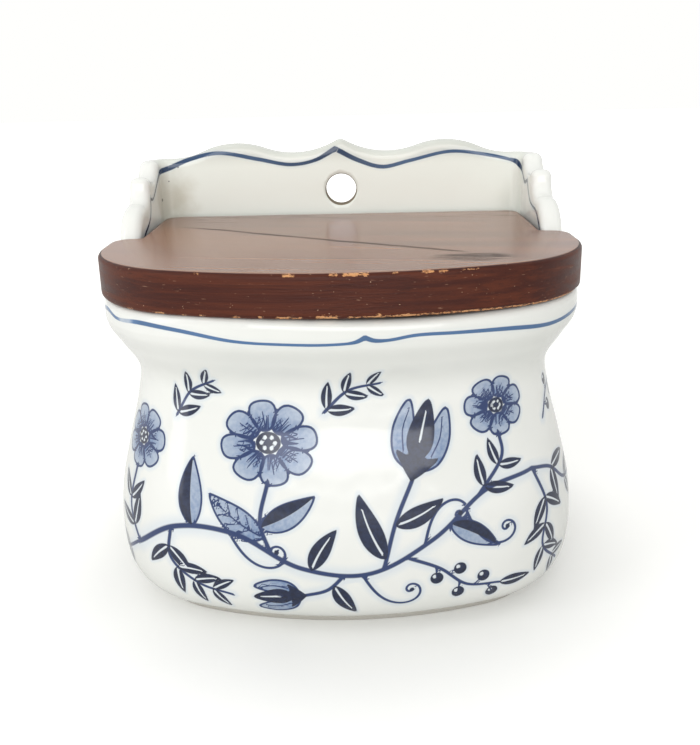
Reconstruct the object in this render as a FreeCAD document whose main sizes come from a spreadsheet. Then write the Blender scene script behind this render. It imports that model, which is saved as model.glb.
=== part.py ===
"""Wall salt box: a slip-cast porcelain pot with a scalloped hanging back, and a wooden lid on two pins.

Millimetres. +X is to the viewer's right, the front faces -Y, +Z is up.
The origin is under the middle of the overall box, on the surface that the foot stands on.
"""

import FreeCAD, Part
import math
import os
import Sketcher

Vector = FreeCAD.Vector
UP = Vector(0, 0, 1)
DOWN = 1.5 * math.pi

# A sketch's numbers for the points of an element and for its upright axis
START, END, CENTRE = range(1, 4)
AXIS_Y = -END

SIZES = {
    # Lid, a flat board cut to a bow front, with two ears that lie on the rim and a tongue between the wings
    "lid_width": 140.0,
    "lid_thickness": 11.9,
    "lid_front_radius": 133.0,
    "lid_corner_radius": 37.0,
    "ear_width": 8.1,
    "ear_side": 9.0,
    "ear_corner_share": 0.72,
    "notch_share": 0.105,
    "tongue_reach": 42.7,
    "tongue_corner_radius": 5.0,
    "lid_edge_round": 1.3,
    # Hinge pins, driven through the wings into the edges of the lid's tongue
    "pin_diameter": 3.0,
    "pin_grip": 12.0,
    "pin_setback": 6.5,
    "pin_recess": 0.8,
    "pin_end_chamfer": 0.4,
    "pin_clearance": 0.08,
    "pin_press": 0.01,
    # Clearances round the lid
    "side_gap": 1.0,
    "rear_gap": 2.1,
    "ear_gap": 0.7,
    # Stations of the pot's wall: height, and how far it stands in from the lid's outline, or out at the belly
    "heel_height": 2.0,
    "heel_inset": 9.0,
    "belly_height_share": 0.21,
    "belly_overhang": 0.7,
    "waist_height_share": 0.774,
    "waist_inset": 8.7,
    "collar_height_share": 0.937,
    "rim_height": 95.0,
    "rim_inset": 0.5,
    # Levels between two stations, as shares of the rise and of the change of inset
    "heel_turn_rise_share": 0.17,
    "heel_turn_inset_share": 0.60,
    "low_belly_rise_share": 0.50,
    "low_belly_inset_share": 0.91,
    "high_belly_rise_share": 0.26,
    "high_belly_inset_share": 0.09,
    "flank_rise_share": 0.56,
    "flank_inset_share": 0.49,
    "low_waist_rise_share": 0.82,
    "low_waist_inset_share": 0.885,
    "flare_rise_share": 0.51,
    "flare_inset_share": 0.53,
    "lip_rise_share": 0.84,
    "lip_inset_share": 0.92,
    "crown_base_rise_share": 0.2,
    "crown_base_inset_share": 1.0,
    # Walls and floor
    "wall_thickness": 5.2,
    "plate_thickness": 6.5,
    "floor_height": 7.0,
    "floor_inset": 17.0,
    "floor_turn_rise_share": 0.26,
    "floor_turn_inset_share": 0.52,
    "back_corner_radius": 9.0,
    "inner_corner_radius": 3.5,
    # Foot ring, left unglazed
    "foot_inset": 10.7,
    "foot_back_inset": 5.0,
    "foot_width": 5.0,
    "foot_recess": 1.4,
    # Crest of the back plate, seen from the front: a peak, two dips and two humps between the wings
    "crest_rise": 37.0,
    # Reach and drop of each from the peak, as shares of the way from the middle to a wing
    "dip_reach_share": 0.26,
    "dip_drop_share": 0.067,
    "hump_reach_share": 0.58,
    "hump_drop_share": 0.0115,
    "corner_drop_share": 0.088,
    # Rounding of the crest, the wings and the rim, and how much softer the tips are than the edges
    "edge_round": 2.4,
    "tip_margin": 0.4,
    "peak_margin": 1.0,
    # Wings, seen from the side: a corner, a scallop, a cusp, a hollow, a round shoulder and a hollow foot
    "scallop_radius": 10.0,
    "cusp_reach": 16.0,
    "cusp_drop": 9.4,
    "hollow_drop": 17.0,
    "shoulder_share": 0.77,
    "wing_foot_radius": 1.2,
    # Hanging hole
    "hang_hole_diameter": 10.7,
    "hang_hole_drop": 17.0,
    "hang_hole_round": 0.8,
    # How far every cut runs past what it cuts
    "overrun": 5.0,
}

# Places that several pieces share, as expressions on the sheet
HALF_LID = "(sizes.lid_width / 2)"
EAR_RADIUS = "(sizes.ear_corner_share * sizes.ear_width)"
NOTCH_RADIUS = "(sizes.notch_share * sizes.ear_width)"
BOW_SPAN = "(sizes.lid_front_radius - sizes.lid_corner_radius)"
BOW_CENTRE_GAP = f"sqrt({BOW_SPAN}^2 - ({HALF_LID} - sizes.lid_corner_radius)^2)"
EAR_DEPTH = f"(sizes.lid_front_radius - {BOW_CENTRE_GAP} + sizes.ear_side + {EAR_RADIUS})"
LID_DEPTH = f"({EAR_DEPTH} + sizes.tongue_reach)"
HALF_DEPTH = f"((sizes.belly_overhang + {LID_DEPTH} + sizes.rear_gap + sizes.plate_thickness) / 2)"
PLATE_FACE = f"({HALF_DEPTH} - sizes.plate_thickness)"
LID_REAR = f"({PLATE_FACE} - sizes.rear_gap)"
LID_FRONT = f"(sizes.belly_overhang - {HALF_DEPTH})"
FRONT_CENTRE = f"(sizes.lid_front_radius + {LID_FRONT})"
EAR_REAR = f"({EAR_DEPTH} + {LID_FRONT})"
PIN_PLACE = f"({LID_REAR} - sizes.pin_setback)"
PIN_HEIGHT = "(sizes.rim_height + sizes.lid_thickness / 2)"
PIN_RADIUS = "(sizes.pin_diameter / 2)"
HALF_TONGUE = f"({HALF_LID} - sizes.ear_width)"
WING_FACE = f"({HALF_TONGUE} + sizes.side_gap)"
WING_OUTSIDE = f"({HALF_LID} - sizes.rim_inset)"
WING_FRONT = f"({EAR_REAR} + sizes.ear_gap + sizes.wing_foot_radius)"
WING_CORNER = f"({PLATE_FACE} - sizes.inner_corner_radius - sizes.tip_margin)"
CREST_END = f"({WING_FACE} - sizes.inner_corner_radius - sizes.tip_margin)"
MOUTH_INSET = f"({HALF_LID} - {WING_FACE})"
CREST_HEIGHT = "(sizes.rim_height + sizes.crest_rise)"
CORNER_HEIGHT = f"({CREST_HEIGHT} - sizes.corner_drop_share * {WING_FACE})"
CUSP_HEIGHT = f"({CREST_HEIGHT} - sizes.cusp_drop)"
HOLLOW_HEIGHT = f"({CREST_HEIGHT} - sizes.hollow_drop)"
SHOULDER_ROOM = f"({HOLLOW_HEIGHT} - sizes.rim_height - sizes.wing_foot_radius)"
HOLLOW_PLACE = f"({WING_FRONT} + sizes.shoulder_share * {SHOULDER_ROOM})"
TIP_RADIUS = "(sizes.edge_round + sizes.tip_margin)"
PEAK_RADIUS = "(sizes.edge_round + sizes.peak_margin)"
CUT_TOP = f"({CREST_HEIGHT} + sizes.overrun)"
DIP_REACH = f"(sizes.dip_reach_share * {WING_FACE})"
HUMP_REACH = f"(sizes.hump_reach_share * {WING_FACE})"
DIP_DROP = f"(sizes.dip_drop_share * {WING_FACE})"
HUMP_DROP = f"(sizes.hump_drop_share * {WING_FACE})"
HUMP_RISE = f"({DIP_DROP} - {HUMP_DROP})"
DIP_RADIUS = f"(({DIP_REACH}^2 + {DIP_DROP}^2) / (2 * {DIP_DROP}) - {PEAK_RADIUS})"
HUMP_RADIUS = f"((({HUMP_REACH} - {DIP_REACH})^2 + {HUMP_RISE}^2) / (2 * {HUMP_RISE}) - {DIP_RADIUS})"

# Height and inset of each station; from the collar up the wall is upright
WAIST_HEIGHT = "(sizes.waist_height_share * sizes.rim_height)"
STATIONS = {
    "heel": ("sizes.heel_height", "sizes.heel_inset"),
    "belly": ("(sizes.belly_height_share * sizes.rim_height)", "(-sizes.belly_overhang)"),
    "waist": (WAIST_HEIGHT, "sizes.waist_inset"),
    "collar": ("(sizes.collar_height_share * sizes.rim_height)", "sizes.rim_inset"),
    "rim": ("sizes.rim_height", "sizes.rim_inset"),
}

# Levels of the wall from the foot up; a level between two stations names both
OUTER_LEVELS = (
    ("heel",),
    ("heel_turn", "heel", "belly"),
    ("low_belly", "heel", "belly"),
    ("belly",),
    ("high_belly", "belly", "waist"),
    ("flank", "belly", "waist"),
    ("low_waist", "belly", "waist"),
    ("waist",),
    ("flare", "waist", "collar"),
    ("lip", "waist", "collar"),
    ("collar",),
    ("crown_base", "collar", "rim"),
)

doc = FreeCAD.newDocument("salt_box")


def make_sheet():
    """The sheet of driving sizes, one row for each."""
    sheet = doc.addObject("Spreadsheet::Sheet", "sizes")
    for row, (name, value) in enumerate(SIZES.items(), start=1):
        sheet.set(f"A{row}", name)
        sheet.set(f"B{row}", str(value))
        sheet.setAlias(f"B{row}", name)
    doc.recompute()
    return sheet


sheet = make_sheet()


def worth(expression):
    """The number that an expression on the sheet gives, for placing geometry before it is bound."""
    return float(sheet.evalExpression(expression.replace("sizes.", "")))


def new_sketch(body, name, role, height=None):
    """A sketch on one of the body's own origin planes, raised along its normal by an expression."""
    sketch = body.newObject("Sketcher::SketchObject", name)
    plane = next(p for p in body.Origin.OriginFeatures if p.Role == role)
    sketch.AttachmentSupport = [(plane, "")]
    sketch.MapMode = "FlatFace"
    if height:
        sketch.setExpression("AttachmentOffset.Base.z", height)
    return sketch


def bind(sketch, expression, kind, *places):
    """A constraint whose value follows the sheet."""
    index = sketch.addConstraint(Sketcher.Constraint(kind, *places, worth(expression)))
    sketch.setExpression(f"Constraints[{index}]", expression)


def relate(sketch, kind, *places):
    """A constraint without a value."""
    sketch.addConstraint(Sketcher.Constraint(kind, *places))


def line(x1, y1, x2, y2):
    return Part.LineSegment(Vector(x1, y1, 0), Vector(x2, y2, 0))


def arc(x, y, radius, start, end):
    """An arc round (x, y), counter-clockwise between two angles in radians."""
    return Part.ArcOfCircle(Part.Circle(Vector(x, y, 0), UP, radius), start, end)


def chain(sketch, kinds):
    """Joins each element to the next, end to start, by the kind of joint given for it."""
    for first, kind in enumerate(kinds):
        second = (first + 1) % len(kinds)
        relate(sketch, kind, first, END, second, START)


def front_bow(inset=0.0):
    """Radii, centres and meeting angle of the arcs that the lid and every level of the pot share."""
    front_radius = worth("sizes.lid_front_radius") - inset
    corner_radius = worth("sizes.lid_corner_radius") - inset
    corner_x = worth(f"{HALF_LID} - sizes.lid_corner_radius")
    front_y = worth(FRONT_CENTRE)
    between = front_radius - corner_radius
    corner_y = front_y - math.sqrt(between**2 - corner_x**2)
    return front_radius, corner_radius, corner_x, front_y, corner_y, math.asin(corner_x / between)


def bow_outline(body, name, height, inset, back, back_radius):
    """A level of the pot: a bow front offset from the lid's outline, straight sides and a flat back."""
    sketch = new_sketch(body, name, "XY_Plane", height)
    front_radius, corner_radius, corner_x, front_y, corner_y, meeting = front_bow(worth(inset))
    side = corner_x + corner_radius
    rear, turn = worth(back), worth(back_radius)
    sketch.addGeometry(
        [
            line(side - turn, rear, turn - side, rear),
            arc(turn - side, rear - turn, turn, math.pi / 2, math.pi),
            line(-side, rear - turn, -side, corner_y),
            arc(-corner_x, corner_y, corner_radius, math.pi, DOWN - meeting),
            arc(0, front_y, front_radius, DOWN - meeting, DOWN + meeting),
            arc(corner_x, corner_y, corner_radius, DOWN + meeting, 2 * math.pi),
            line(side, corner_y, side, rear - turn),
            arc(side - turn, rear - turn, turn, 0, math.pi / 2),
        ]
    )
    chain(sketch, ["Tangent"] * 8)
    relate(sketch, "Symmetric", 0, START, 0, END, AXIS_Y)
    relate(sketch, "Vertical", 2)
    relate(sketch, "Vertical", 6)
    relate(sketch, "PointOnObject", 4, CENTRE, AXIS_Y)
    relate(sketch, "Equal", 1, 7)
    relate(sketch, "Equal", 3, 5)
    bind(sketch, back, "DistanceY", 0, START)
    bind(sketch, back_radius, "Radius", 7)
    bind(sketch, f"sizes.lid_corner_radius - {inset}", "Radius", 5)
    bind(sketch, f"sizes.lid_front_radius - {inset}", "Radius", 4)
    bind(sketch, FRONT_CENTRE, "DistanceY", 4, CENTRE)
    bind(sketch, f"{HALF_LID} - {inset}", "DistanceX", 6, START)
    return sketch


def level(name, lower=None, upper=None):
    """Height and inset of a level of the outer wall, as expressions."""
    if not lower:
        return STATIONS[name]
    low_height, low_inset = STATIONS[lower]
    high_height, high_inset = STATIONS[upper]
    height = f"({low_height} + sizes.{name}_rise_share * ({high_height} - {low_height}))"
    return height, f"({low_inset} + sizes.{name}_inset_share * ({high_inset} - {low_inset}))"


def inner_levels():
    """Name, height and inset of each level of the salt well, from the floor to the mouth."""
    walls = {names[0]: level(*names) for names in OUTER_LEVELS}
    belly_height, belly_inset = walls["belly"]
    turn_rise = f"sizes.floor_turn_rise_share * ({belly_height} - sizes.floor_height)"
    turn_change = f"({belly_inset} + sizes.wall_thickness - sizes.floor_inset)"
    turn_inset = f"(sizes.floor_inset + sizes.floor_turn_inset_share * {turn_change})"
    levels = [
        ("floor", "sizes.floor_height", "sizes.floor_inset"),
        ("floor_turn", f"(sizes.floor_height + {turn_rise})", turn_inset),
    ]
    for name in ("belly", "high_belly", "flank", "low_waist", "waist", "flare"):
        height, inset = walls[name]
        levels.append((name, height, f"({inset} + sizes.wall_thickness)"))
    for name in ("lip", "collar", "crown_base"):
        height, inset = walls[name]
        levels.append((name, height, f"({inset} + {MOUTH_INSET} - sizes.rim_inset)"))
    return levels


def feature(body, kind, name, profile, **settings):
    """A PartDesign feature on a sketch; text settings that name sizes are bound to the sheet."""
    made = body.newObject(f"PartDesign::{kind}", name)
    made.Profile = profile
    for key, value in settings.items():
        if isinstance(value, str) and "sizes." in value:
            made.setExpression(key, value)
        else:
            setattr(made, key, value)
    doc.recompute()
    return made


def rounded(body, name, base, radius, picked):
    """A fillet on the picked edges of the base feature."""
    names = [f"Edge{n}" for n, edge in enumerate(base.Shape.Edges, start=1) if picked(base.Shape, edge)]
    fillet = body.newObject("PartDesign::Fillet", name)
    fillet.Base = (base, names)
    fillet.setExpression("Radius", radius)
    doc.recompute()
    return fillet


def made_by_cut(face):
    """Whether a face of the pot was left by the cuts along the crest, the wings or the rim."""
    surface = face.Surface
    if isinstance(surface, Part.Cylinder):
        return abs(surface.Axis.z) < 0.5
    if not isinstance(surface, Part.Plane):
        return False
    faces_front = abs(surface.Axis.y) > 0.5 and face.CenterOfMass.y < worth(WING_CORNER)
    return abs(surface.Axis.z) > 0.5 or faces_front


def upper_edge(shape, edge):
    """Whether an edge lies between a wall and a cut, above the pot's waist."""
    if edge.CenterOfMass.z < worth(WAIST_HEIGHT):
        return False
    return sum(made_by_cut(face) for face in shape.ancestorsOfType(edge, Part.Face)) == 1


def level_edge(shape, edge):
    """Whether an edge runs round the top or the bottom of the lid."""
    return edge.BoundBox.ZLength < worth("sizes.lid_edge_round")


def hole_edge(shape, edge):
    """Whether an edge is a rim of the hanging hole."""
    curve = edge.Curve
    wanted = worth("sizes.hang_hole_diameter / 2")
    return isinstance(curve, Part.Circle) and abs(curve.Axis.y) > 0.5 and math.isclose(curve.Radius, wanted)


def wing_profile(body):
    """What is cut from above the wings and the front rim, seen from the side, as one run of tangent arcs."""
    sketch = new_sketch(body, "wing_profile", "YZ_Plane")
    tip, scallop = worth(TIP_RADIUS), worth("sizes.scallop_radius")
    corner_y, corner_z = worth(WING_CORNER), worth(CORNER_HEIGHT) - tip
    cusp_y, cusp_z = corner_y - worth("sizes.cusp_reach"), worth(CUSP_HEIGHT) - tip
    hollow_y, hollow_low = worth(HOLLOW_PLACE), worth(HOLLOW_HEIGHT)
    fall, span = cusp_z + tip - hollow_low, cusp_y - hollow_y
    hollow = (span**2 + fall**2) / (2 * fall) - tip
    hollow_z = hollow_low + hollow
    front, rim, foot = worth(WING_FRONT), worth("sizes.rim_height"), worth("sizes.wing_foot_radius")
    far, top = -worth(f"{HALF_DEPTH} + sizes.overrun"), worth(CUT_TOP)
    shoulder = hollow_y - front
    half = math.hypot(corner_y - cusp_y, corner_z - cusp_z) / 2
    lean = math.atan2(corner_z - cusp_z, corner_y - cusp_y)
    rise = math.sqrt((scallop + tip) ** 2 - half**2)
    scallop_y = (corner_y + cusp_y) / 2 - rise * math.sin(lean)
    scallop_z = (corner_z + cusp_z) / 2 + rise * math.cos(lean)
    to_cusp = math.atan2(cusp_z - scallop_z, cusp_y - scallop_y)
    to_corner = math.atan2(corner_z - scallop_z, corner_y - scallop_y)
    from_cusp = math.atan2(hollow_z - cusp_z, hollow_y - cusp_y)
    sketch.addGeometry(
        [
            arc(hollow_y, hollow_low - shoulder, shoulder, math.pi / 2, math.pi),
            arc(hollow_y, hollow_z, hollow, DOWN, from_cusp + math.pi),
            arc(cusp_y, cusp_z, tip, to_cusp + math.pi, from_cusp),
            arc(scallop_y, scallop_z, scallop, to_cusp, to_corner),
            arc(corner_y, corner_z, tip, math.pi / 2, to_corner + math.pi),
            line(corner_y, corner_z + tip, corner_y, top),
            line(corner_y, top, far, top),
            line(far, top, far, rim),
            line(far, rim, front - foot, rim),
            arc(front - foot, rim + foot, foot, DOWN, 2 * math.pi),
            line(front, rim + foot, front, hollow_low - shoulder),
        ]
    )
    relate(sketch, "Tangent", 0, START, 1, START)
    relate(sketch, "Tangent", 1, END, 2, END)
    relate(sketch, "Tangent", 2, START, 3, START)
    relate(sketch, "Tangent", 3, END, 4, END)
    relate(sketch, "Coincident", 4, START, 5, START)
    for first in (5, 6, 7):
        relate(sketch, "Coincident", first, END, first + 1, START)
    for first in (8, 9):
        relate(sketch, "Tangent", first, END, first + 1, START)
    relate(sketch, "Tangent", 10, END, 0, END)
    for upright in (5, 7, 10):
        relate(sketch, "Vertical", upright)
    for flat in (6, 8):
        relate(sketch, "Horizontal", flat)
    relate(sketch, "Vertical", 1, CENTRE, 1, START)
    relate(sketch, "Vertical", 4, CENTRE, 4, START)
    relate(sketch, "Equal", 2, 4)
    bind(sketch, TIP_RADIUS, "Radius", 4)
    bind(sketch, WING_CORNER, "DistanceX", 4, CENTRE)
    bind(sketch, f"{CORNER_HEIGHT} - {TIP_RADIUS}", "DistanceY", 4, CENTRE)
    bind(sketch, f"{WING_CORNER} - sizes.cusp_reach", "DistanceX", 2, CENTRE)
    bind(sketch, f"{CUSP_HEIGHT} - {TIP_RADIUS}", "DistanceY", 2, CENTRE)
    bind(sketch, "sizes.scallop_radius", "Radius", 3)
    bind(sketch, HOLLOW_PLACE, "DistanceX", 1, START)
    bind(sketch, HOLLOW_HEIGHT, "DistanceY", 1, START)
    bind(sketch, WING_FRONT, "DistanceX", 10, START)
    bind(sketch, "sizes.wing_foot_radius", "Radius", 9)
    bind(sketch, "sizes.rim_height", "DistanceY", 8, START)
    bind(sketch, f"-({HALF_DEPTH} + sizes.overrun)", "DistanceX", 7, START)
    bind(sketch, CUT_TOP, "DistanceY", 7, START)
    return sketch


def crest_profile(body):
    """What is cut from above the back plate, seen from the front: a peak, two dips and two humps."""
    sketch = new_sketch(body, "crest_profile", "XZ_Plane")
    peak = worth(PEAK_RADIUS)
    peak_z = worth(CREST_HEIGHT) - peak
    dip, dip_x = worth(DIP_RADIUS), worth(DIP_REACH)
    dip_z = worth(f"{CREST_HEIGHT} - {DIP_DROP}") + dip
    hump, hump_x = worth(HUMP_RADIUS), worth(HUMP_REACH)
    hump_z = worth(f"{CREST_HEIGHT} - {HUMP_DROP}") - hump
    corner, crest_end = worth(CORNER_HEIGHT), worth(CREST_END)
    far, top = worth(f"{HALF_LID} + sizes.overrun"), worth(CUT_TOP)
    drop, run = corner - hump_z, crest_end - hump_x
    blend = (run**2 + drop**2 - hump**2) / (2 * (hump - drop))
    inner = math.atan2(dip_z - peak_z, dip_x)
    outer = math.atan2(dip_z - hump_z, hump_x - dip_x)
    end = math.atan2(corner + blend - hump_z, run)
    sketch.addGeometry(
        [
            arc(hump_x, hump_z, hump, end, math.pi - outer),
            arc(dip_x, dip_z, dip, math.pi + inner, 2 * math.pi - outer),
            arc(0, peak_z, peak, inner, math.pi - inner),
            arc(-dip_x, dip_z, dip, math.pi + outer, 2 * math.pi - inner),
            arc(-hump_x, hump_z, hump, outer, math.pi - end),
            arc(-crest_end, corner + blend, blend, DOWN, 2 * math.pi - end),
            line(-crest_end, corner, -far, corner),
            line(-far, corner, -far, top),
            line(-far, top, far, top),
            line(far, top, far, corner),
            line(far, corner, crest_end, corner),
            arc(crest_end, corner + blend, blend, math.pi + end, DOWN),
        ]
    )
    relate(sketch, "Tangent", 0, END, 1, END)
    relate(sketch, "Tangent", 1, START, 2, START)
    relate(sketch, "Tangent", 2, END, 3, END)
    relate(sketch, "Tangent", 3, START, 4, START)
    relate(sketch, "Tangent", 4, END, 5, END)
    relate(sketch, "Tangent", 5, START, 6, START)
    for first in (6, 7, 8, 9):
        relate(sketch, "Coincident", first, END, first + 1, START)
    relate(sketch, "Tangent", 10, END, 11, END)
    relate(sketch, "Tangent", 11, START, 0, START)
    for flat in (6, 8, 10):
        relate(sketch, "Horizontal", flat)
    for upright in (7, 9):
        relate(sketch, "Vertical", upright)
    relate(sketch, "PointOnObject", 2, CENTRE, AXIS_Y)
    relate(sketch, "Equal", 0, 4)
    relate(sketch, "Equal", 1, 3)
    bind(sketch, PEAK_RADIUS, "Radius", 2)
    bind(sketch, f"{CREST_HEIGHT} - {PEAK_RADIUS}", "DistanceY", 2, CENTRE)
    bind(sketch, DIP_RADIUS, "Radius", 1)
    bind(sketch, DIP_REACH, "DistanceX", 1, CENTRE)
    bind(sketch, f"-{DIP_REACH}", "DistanceX", 3, CENTRE)
    bind(sketch, HUMP_RADIUS, "Radius", 0)
    bind(sketch, HUMP_REACH, "DistanceX", 0, CENTRE)
    bind(sketch, f"-{HUMP_REACH}", "DistanceX", 4, CENTRE)
    bind(sketch, CREST_END, "DistanceX", 10, END)
    bind(sketch, f"-{CREST_END}", "DistanceX", 6, START)
    bind(sketch, CORNER_HEIGHT, "DistanceY", 10, END)
    bind(sketch, CORNER_HEIGHT, "DistanceY", 6, START)
    bind(sketch, f"{HALF_LID} + sizes.overrun", "DistanceX", 9, START)
    bind(sketch, f"-({HALF_LID} + sizes.overrun)", "DistanceX", 7, START)
    bind(sketch, CUT_TOP, "DistanceY", 9, START)
    return sketch


def round_hole(body, name, role, height, radius, across=None):
    """A circle on an upright plane of the body, for a hole or a pin; in the middle if not moved across."""
    sketch = new_sketch(body, name, role)
    place = worth(across) if across else 0
    sketch.addGeometry([Part.Circle(Vector(place, worth(height), 0), UP, worth(radius))])
    if across:
        bind(sketch, across, "DistanceX", 0, CENTRE)
    else:
        relate(sketch, "PointOnObject", 0, CENTRE, AXIS_Y)
    bind(sketch, height, "DistanceY", 0, CENTRE)
    bind(sketch, radius, "Radius", 0)
    return sketch


def wall_outline(body, name, height, inset):
    """A level of the outside of the pot, whose back lies on the wall that the box hangs on."""
    return bow_outline(body, name, height, inset, HALF_DEPTH, "sizes.back_corner_radius")


def well_outline(body, name, height, inset):
    """A level of the inside of the pot, whose back is the face of the back plate."""
    return bow_outline(body, name, height, inset, PLATE_FACE, "sizes.inner_corner_radius")


def make_pot():
    """The porcelain casting: pot, wings, hanging back and foot ring in one fired piece."""
    body = doc.addObject("PartDesign::Body", "porcelain_body")
    levels = [wall_outline(body, f"outside_{names[0]}", *level(*names)) for names in OUTER_LEVELS]
    feature(body, "AdditiveLoft", "outer_wall", levels[0], Sections=levels[1:])
    base_height, base_inset = level("crown_base", "collar", "rim")
    crown = wall_outline(body, "crown_outline", base_height, base_inset)
    feature(body, "Pad", "crown", crown, Length=f"{CREST_HEIGHT} - {base_height}")
    well = [well_outline(body, f"inside_{name}", height, inset) for name, height, inset in inner_levels()]
    feature(body, "SubtractiveLoft", "salt_well", well[0], Sections=well[1:])
    mouth = well_outline(body, "mouth_outline", base_height, MOUTH_INSET)
    feature(body, "Pocket", "mouth", mouth, Type="ThroughAll", Reversed=True)
    wings = wing_profile(body)
    feature(body, "Pocket", "wing_cut", wings, Type="ThroughAll", SideType="Symmetric")
    crest = crest_profile(body)
    shaped = feature(body, "Pocket", "crest_cut", crest, Type="ThroughAll", SideType="Symmetric")
    rounded(body, "soft_edges", shaped, "sizes.edge_round", upper_edge)
    hang_height = f"{CREST_HEIGHT} - sizes.hang_hole_drop"
    hang = round_hole(body, "hang_hole_outline", "XZ_Plane", hang_height, "sizes.hang_hole_diameter / 2")
    holed = feature(body, "Pocket", "hang_hole", hang, Type="ThroughAll", SideType="Symmetric")
    rounded(body, "hang_hole_edges", holed, "sizes.hang_hole_round", hole_edge)
    bearing = f"{PIN_RADIUS} + sizes.pin_clearance"
    pins = round_hole(body, "pin_hole_outline", "YZ_Plane", PIN_HEIGHT, bearing, PIN_PLACE)
    feature(body, "Pocket", "pin_holes", pins, Type="ThroughAll", SideType="Symmetric")
    foot_back = f"({HALF_DEPTH} - sizes.foot_back_inset)"
    foot = bow_outline(body, "foot_outline", None, "sizes.foot_inset", foot_back, "sizes.back_corner_radius")
    feature(body, "Pad", "foot", foot, Length="sizes.heel_height")
    recess_inset = "(sizes.foot_inset + sizes.foot_width)"
    recess_back = f"({foot_back} - sizes.foot_width)"
    recess = bow_outline(body, "recess_outline", None, recess_inset, recess_back, "sizes.inner_corner_radius")
    feature(body, "Pocket", "foot_recess", recess, Length="sizes.foot_recess", Reversed=True)
    return body


def lid_outline(body):
    """The lid from above: a bow front, two round ears and a tongue that reaches back between the wings."""
    sketch = new_sketch(body, "lid_outline", "XY_Plane", "sizes.rim_height")
    front_radius, corner_radius, corner_x, front_y, corner_y, meeting = front_bow()
    half, tongue = worth(HALF_LID), worth(HALF_TONGUE)
    ear, notch = worth(EAR_RADIUS), worth(NOTCH_RADIUS)
    turn, ear_y, rear = worth("sizes.tongue_corner_radius"), worth(EAR_REAR), worth(LID_REAR)
    sketch.addGeometry(
        [
            arc(0, front_y, front_radius, DOWN - meeting, DOWN + meeting),
            arc(corner_x, corner_y, corner_radius, DOWN + meeting, 2 * math.pi),
            line(half, corner_y, half, ear_y - ear),
            arc(half - ear, ear_y - ear, ear, 0, math.pi / 2),
            line(half - ear, ear_y, tongue + notch, ear_y),
            arc(tongue + notch, ear_y + notch, notch, math.pi, DOWN),
            line(tongue, ear_y + notch, tongue, rear - turn),
            arc(tongue - turn, rear - turn, turn, 0, math.pi / 2),
            line(tongue - turn, rear, turn - tongue, rear),
            arc(turn - tongue, rear - turn, turn, math.pi / 2, math.pi),
            line(-tongue, rear - turn, -tongue, ear_y + notch),
            arc(-tongue - notch, ear_y + notch, notch, DOWN, 2 * math.pi),
            line(-tongue - notch, ear_y, ear - half, ear_y),
            arc(ear - half, ear_y - ear, ear, math.pi / 2, math.pi),
            line(-half, ear_y - ear, -half, corner_y),
            arc(-corner_x, corner_y, corner_radius, math.pi, DOWN - meeting),
        ]
    )
    for first in (0, 1, 2, 3, 6, 7, 8, 9, 12, 13, 14, 15):
        relate(sketch, "Tangent", first, END, (first + 1) % 16, START)
    for side, hollow, along in ((4, 5, 6), (10, 11, 12)):
        relate(sketch, "Tangent", side, END, hollow, END)
        relate(sketch, "Tangent", hollow, START, along, START)
    relate(sketch, "Symmetric", 8, START, 8, END, AXIS_Y)
    for upright in (2, 6, 10, 14):
        relate(sketch, "Vertical", upright)
    for flat in (4, 12):
        relate(sketch, "Horizontal", flat)
    for first, second in ((1, 15), (3, 13), (5, 11), (7, 9)):
        relate(sketch, "Equal", first, second)
    relate(sketch, "PointOnObject", 0, CENTRE, AXIS_Y)
    bind(sketch, "sizes.lid_front_radius", "Radius", 0)
    bind(sketch, FRONT_CENTRE, "DistanceY", 0, CENTRE)
    bind(sketch, "sizes.lid_corner_radius", "Radius", 1)
    bind(sketch, EAR_RADIUS, "Radius", 3)
    bind(sketch, NOTCH_RADIUS, "Radius", 5)
    bind(sketch, "sizes.tongue_corner_radius", "Radius", 7)
    bind(sketch, HALF_LID, "DistanceX", 2, START)
    bind(sketch, f"-{HALF_LID}", "DistanceX", 14, START)
    bind(sketch, HALF_TONGUE, "DistanceX", 6, START)
    bind(sketch, EAR_REAR, "DistanceY", 4, START)
    bind(sketch, EAR_REAR, "DistanceY", 12, START)
    bind(sketch, LID_REAR, "DistanceY", 8, START)
    return sketch


def make_lid():
    """The wooden lid board, with a blind hole for a pin in each side of its tongue."""
    body = doc.addObject("PartDesign::Body", "lid_board")
    board = feature(body, "Pad", "board", lid_outline(body), Length="sizes.lid_thickness")
    rounded(body, "eased_edges", board, "sizes.lid_edge_round", level_edge)
    grip = f"{PIN_RADIUS} - sizes.pin_press"
    for side, sign, inward in (("right", "", False), ("left", "-", True)):
        name = f"{side}_pin_hole"
        hole = round_hole(body, f"{name}_outline", "YZ_Plane", PIN_HEIGHT, grip, PIN_PLACE)
        hole.setExpression("AttachmentOffset.Base.z", f"{sign}{HALF_TONGUE}")
        feature(body, "Pocket", name, hole, Length="sizes.pin_grip", Reversed=inward)
    return body


def make_pin(side, start):
    """A steel pin that is tight in the lid and turns in the wing."""
    body = doc.addObject("PartDesign::Body", f"hinge_pin_{side}")
    outline = round_hole(body, f"{side}_pin_outline", "YZ_Plane", PIN_HEIGHT, PIN_RADIUS, PIN_PLACE)
    outline.setExpression("AttachmentOffset.Base.z", start)
    length = f"{WING_OUTSIDE} - sizes.pin_recess - {HALF_TONGUE} + sizes.pin_grip"
    shank = feature(body, "Pad", f"{side}_shank", outline, Length=length)
    chamfer = body.newObject("PartDesign::Chamfer", f"{side}_pin_ends")
    rims = [n for n, e in enumerate(shank.Shape.Edges, start=1) if isinstance(e.Curve, Part.Circle)]
    chamfer.Base = (shank, [f"Edge{n}" for n in rims])
    chamfer.setExpression("Size", "sizes.pin_end_chamfer")
    doc.recompute()
    return body


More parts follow.
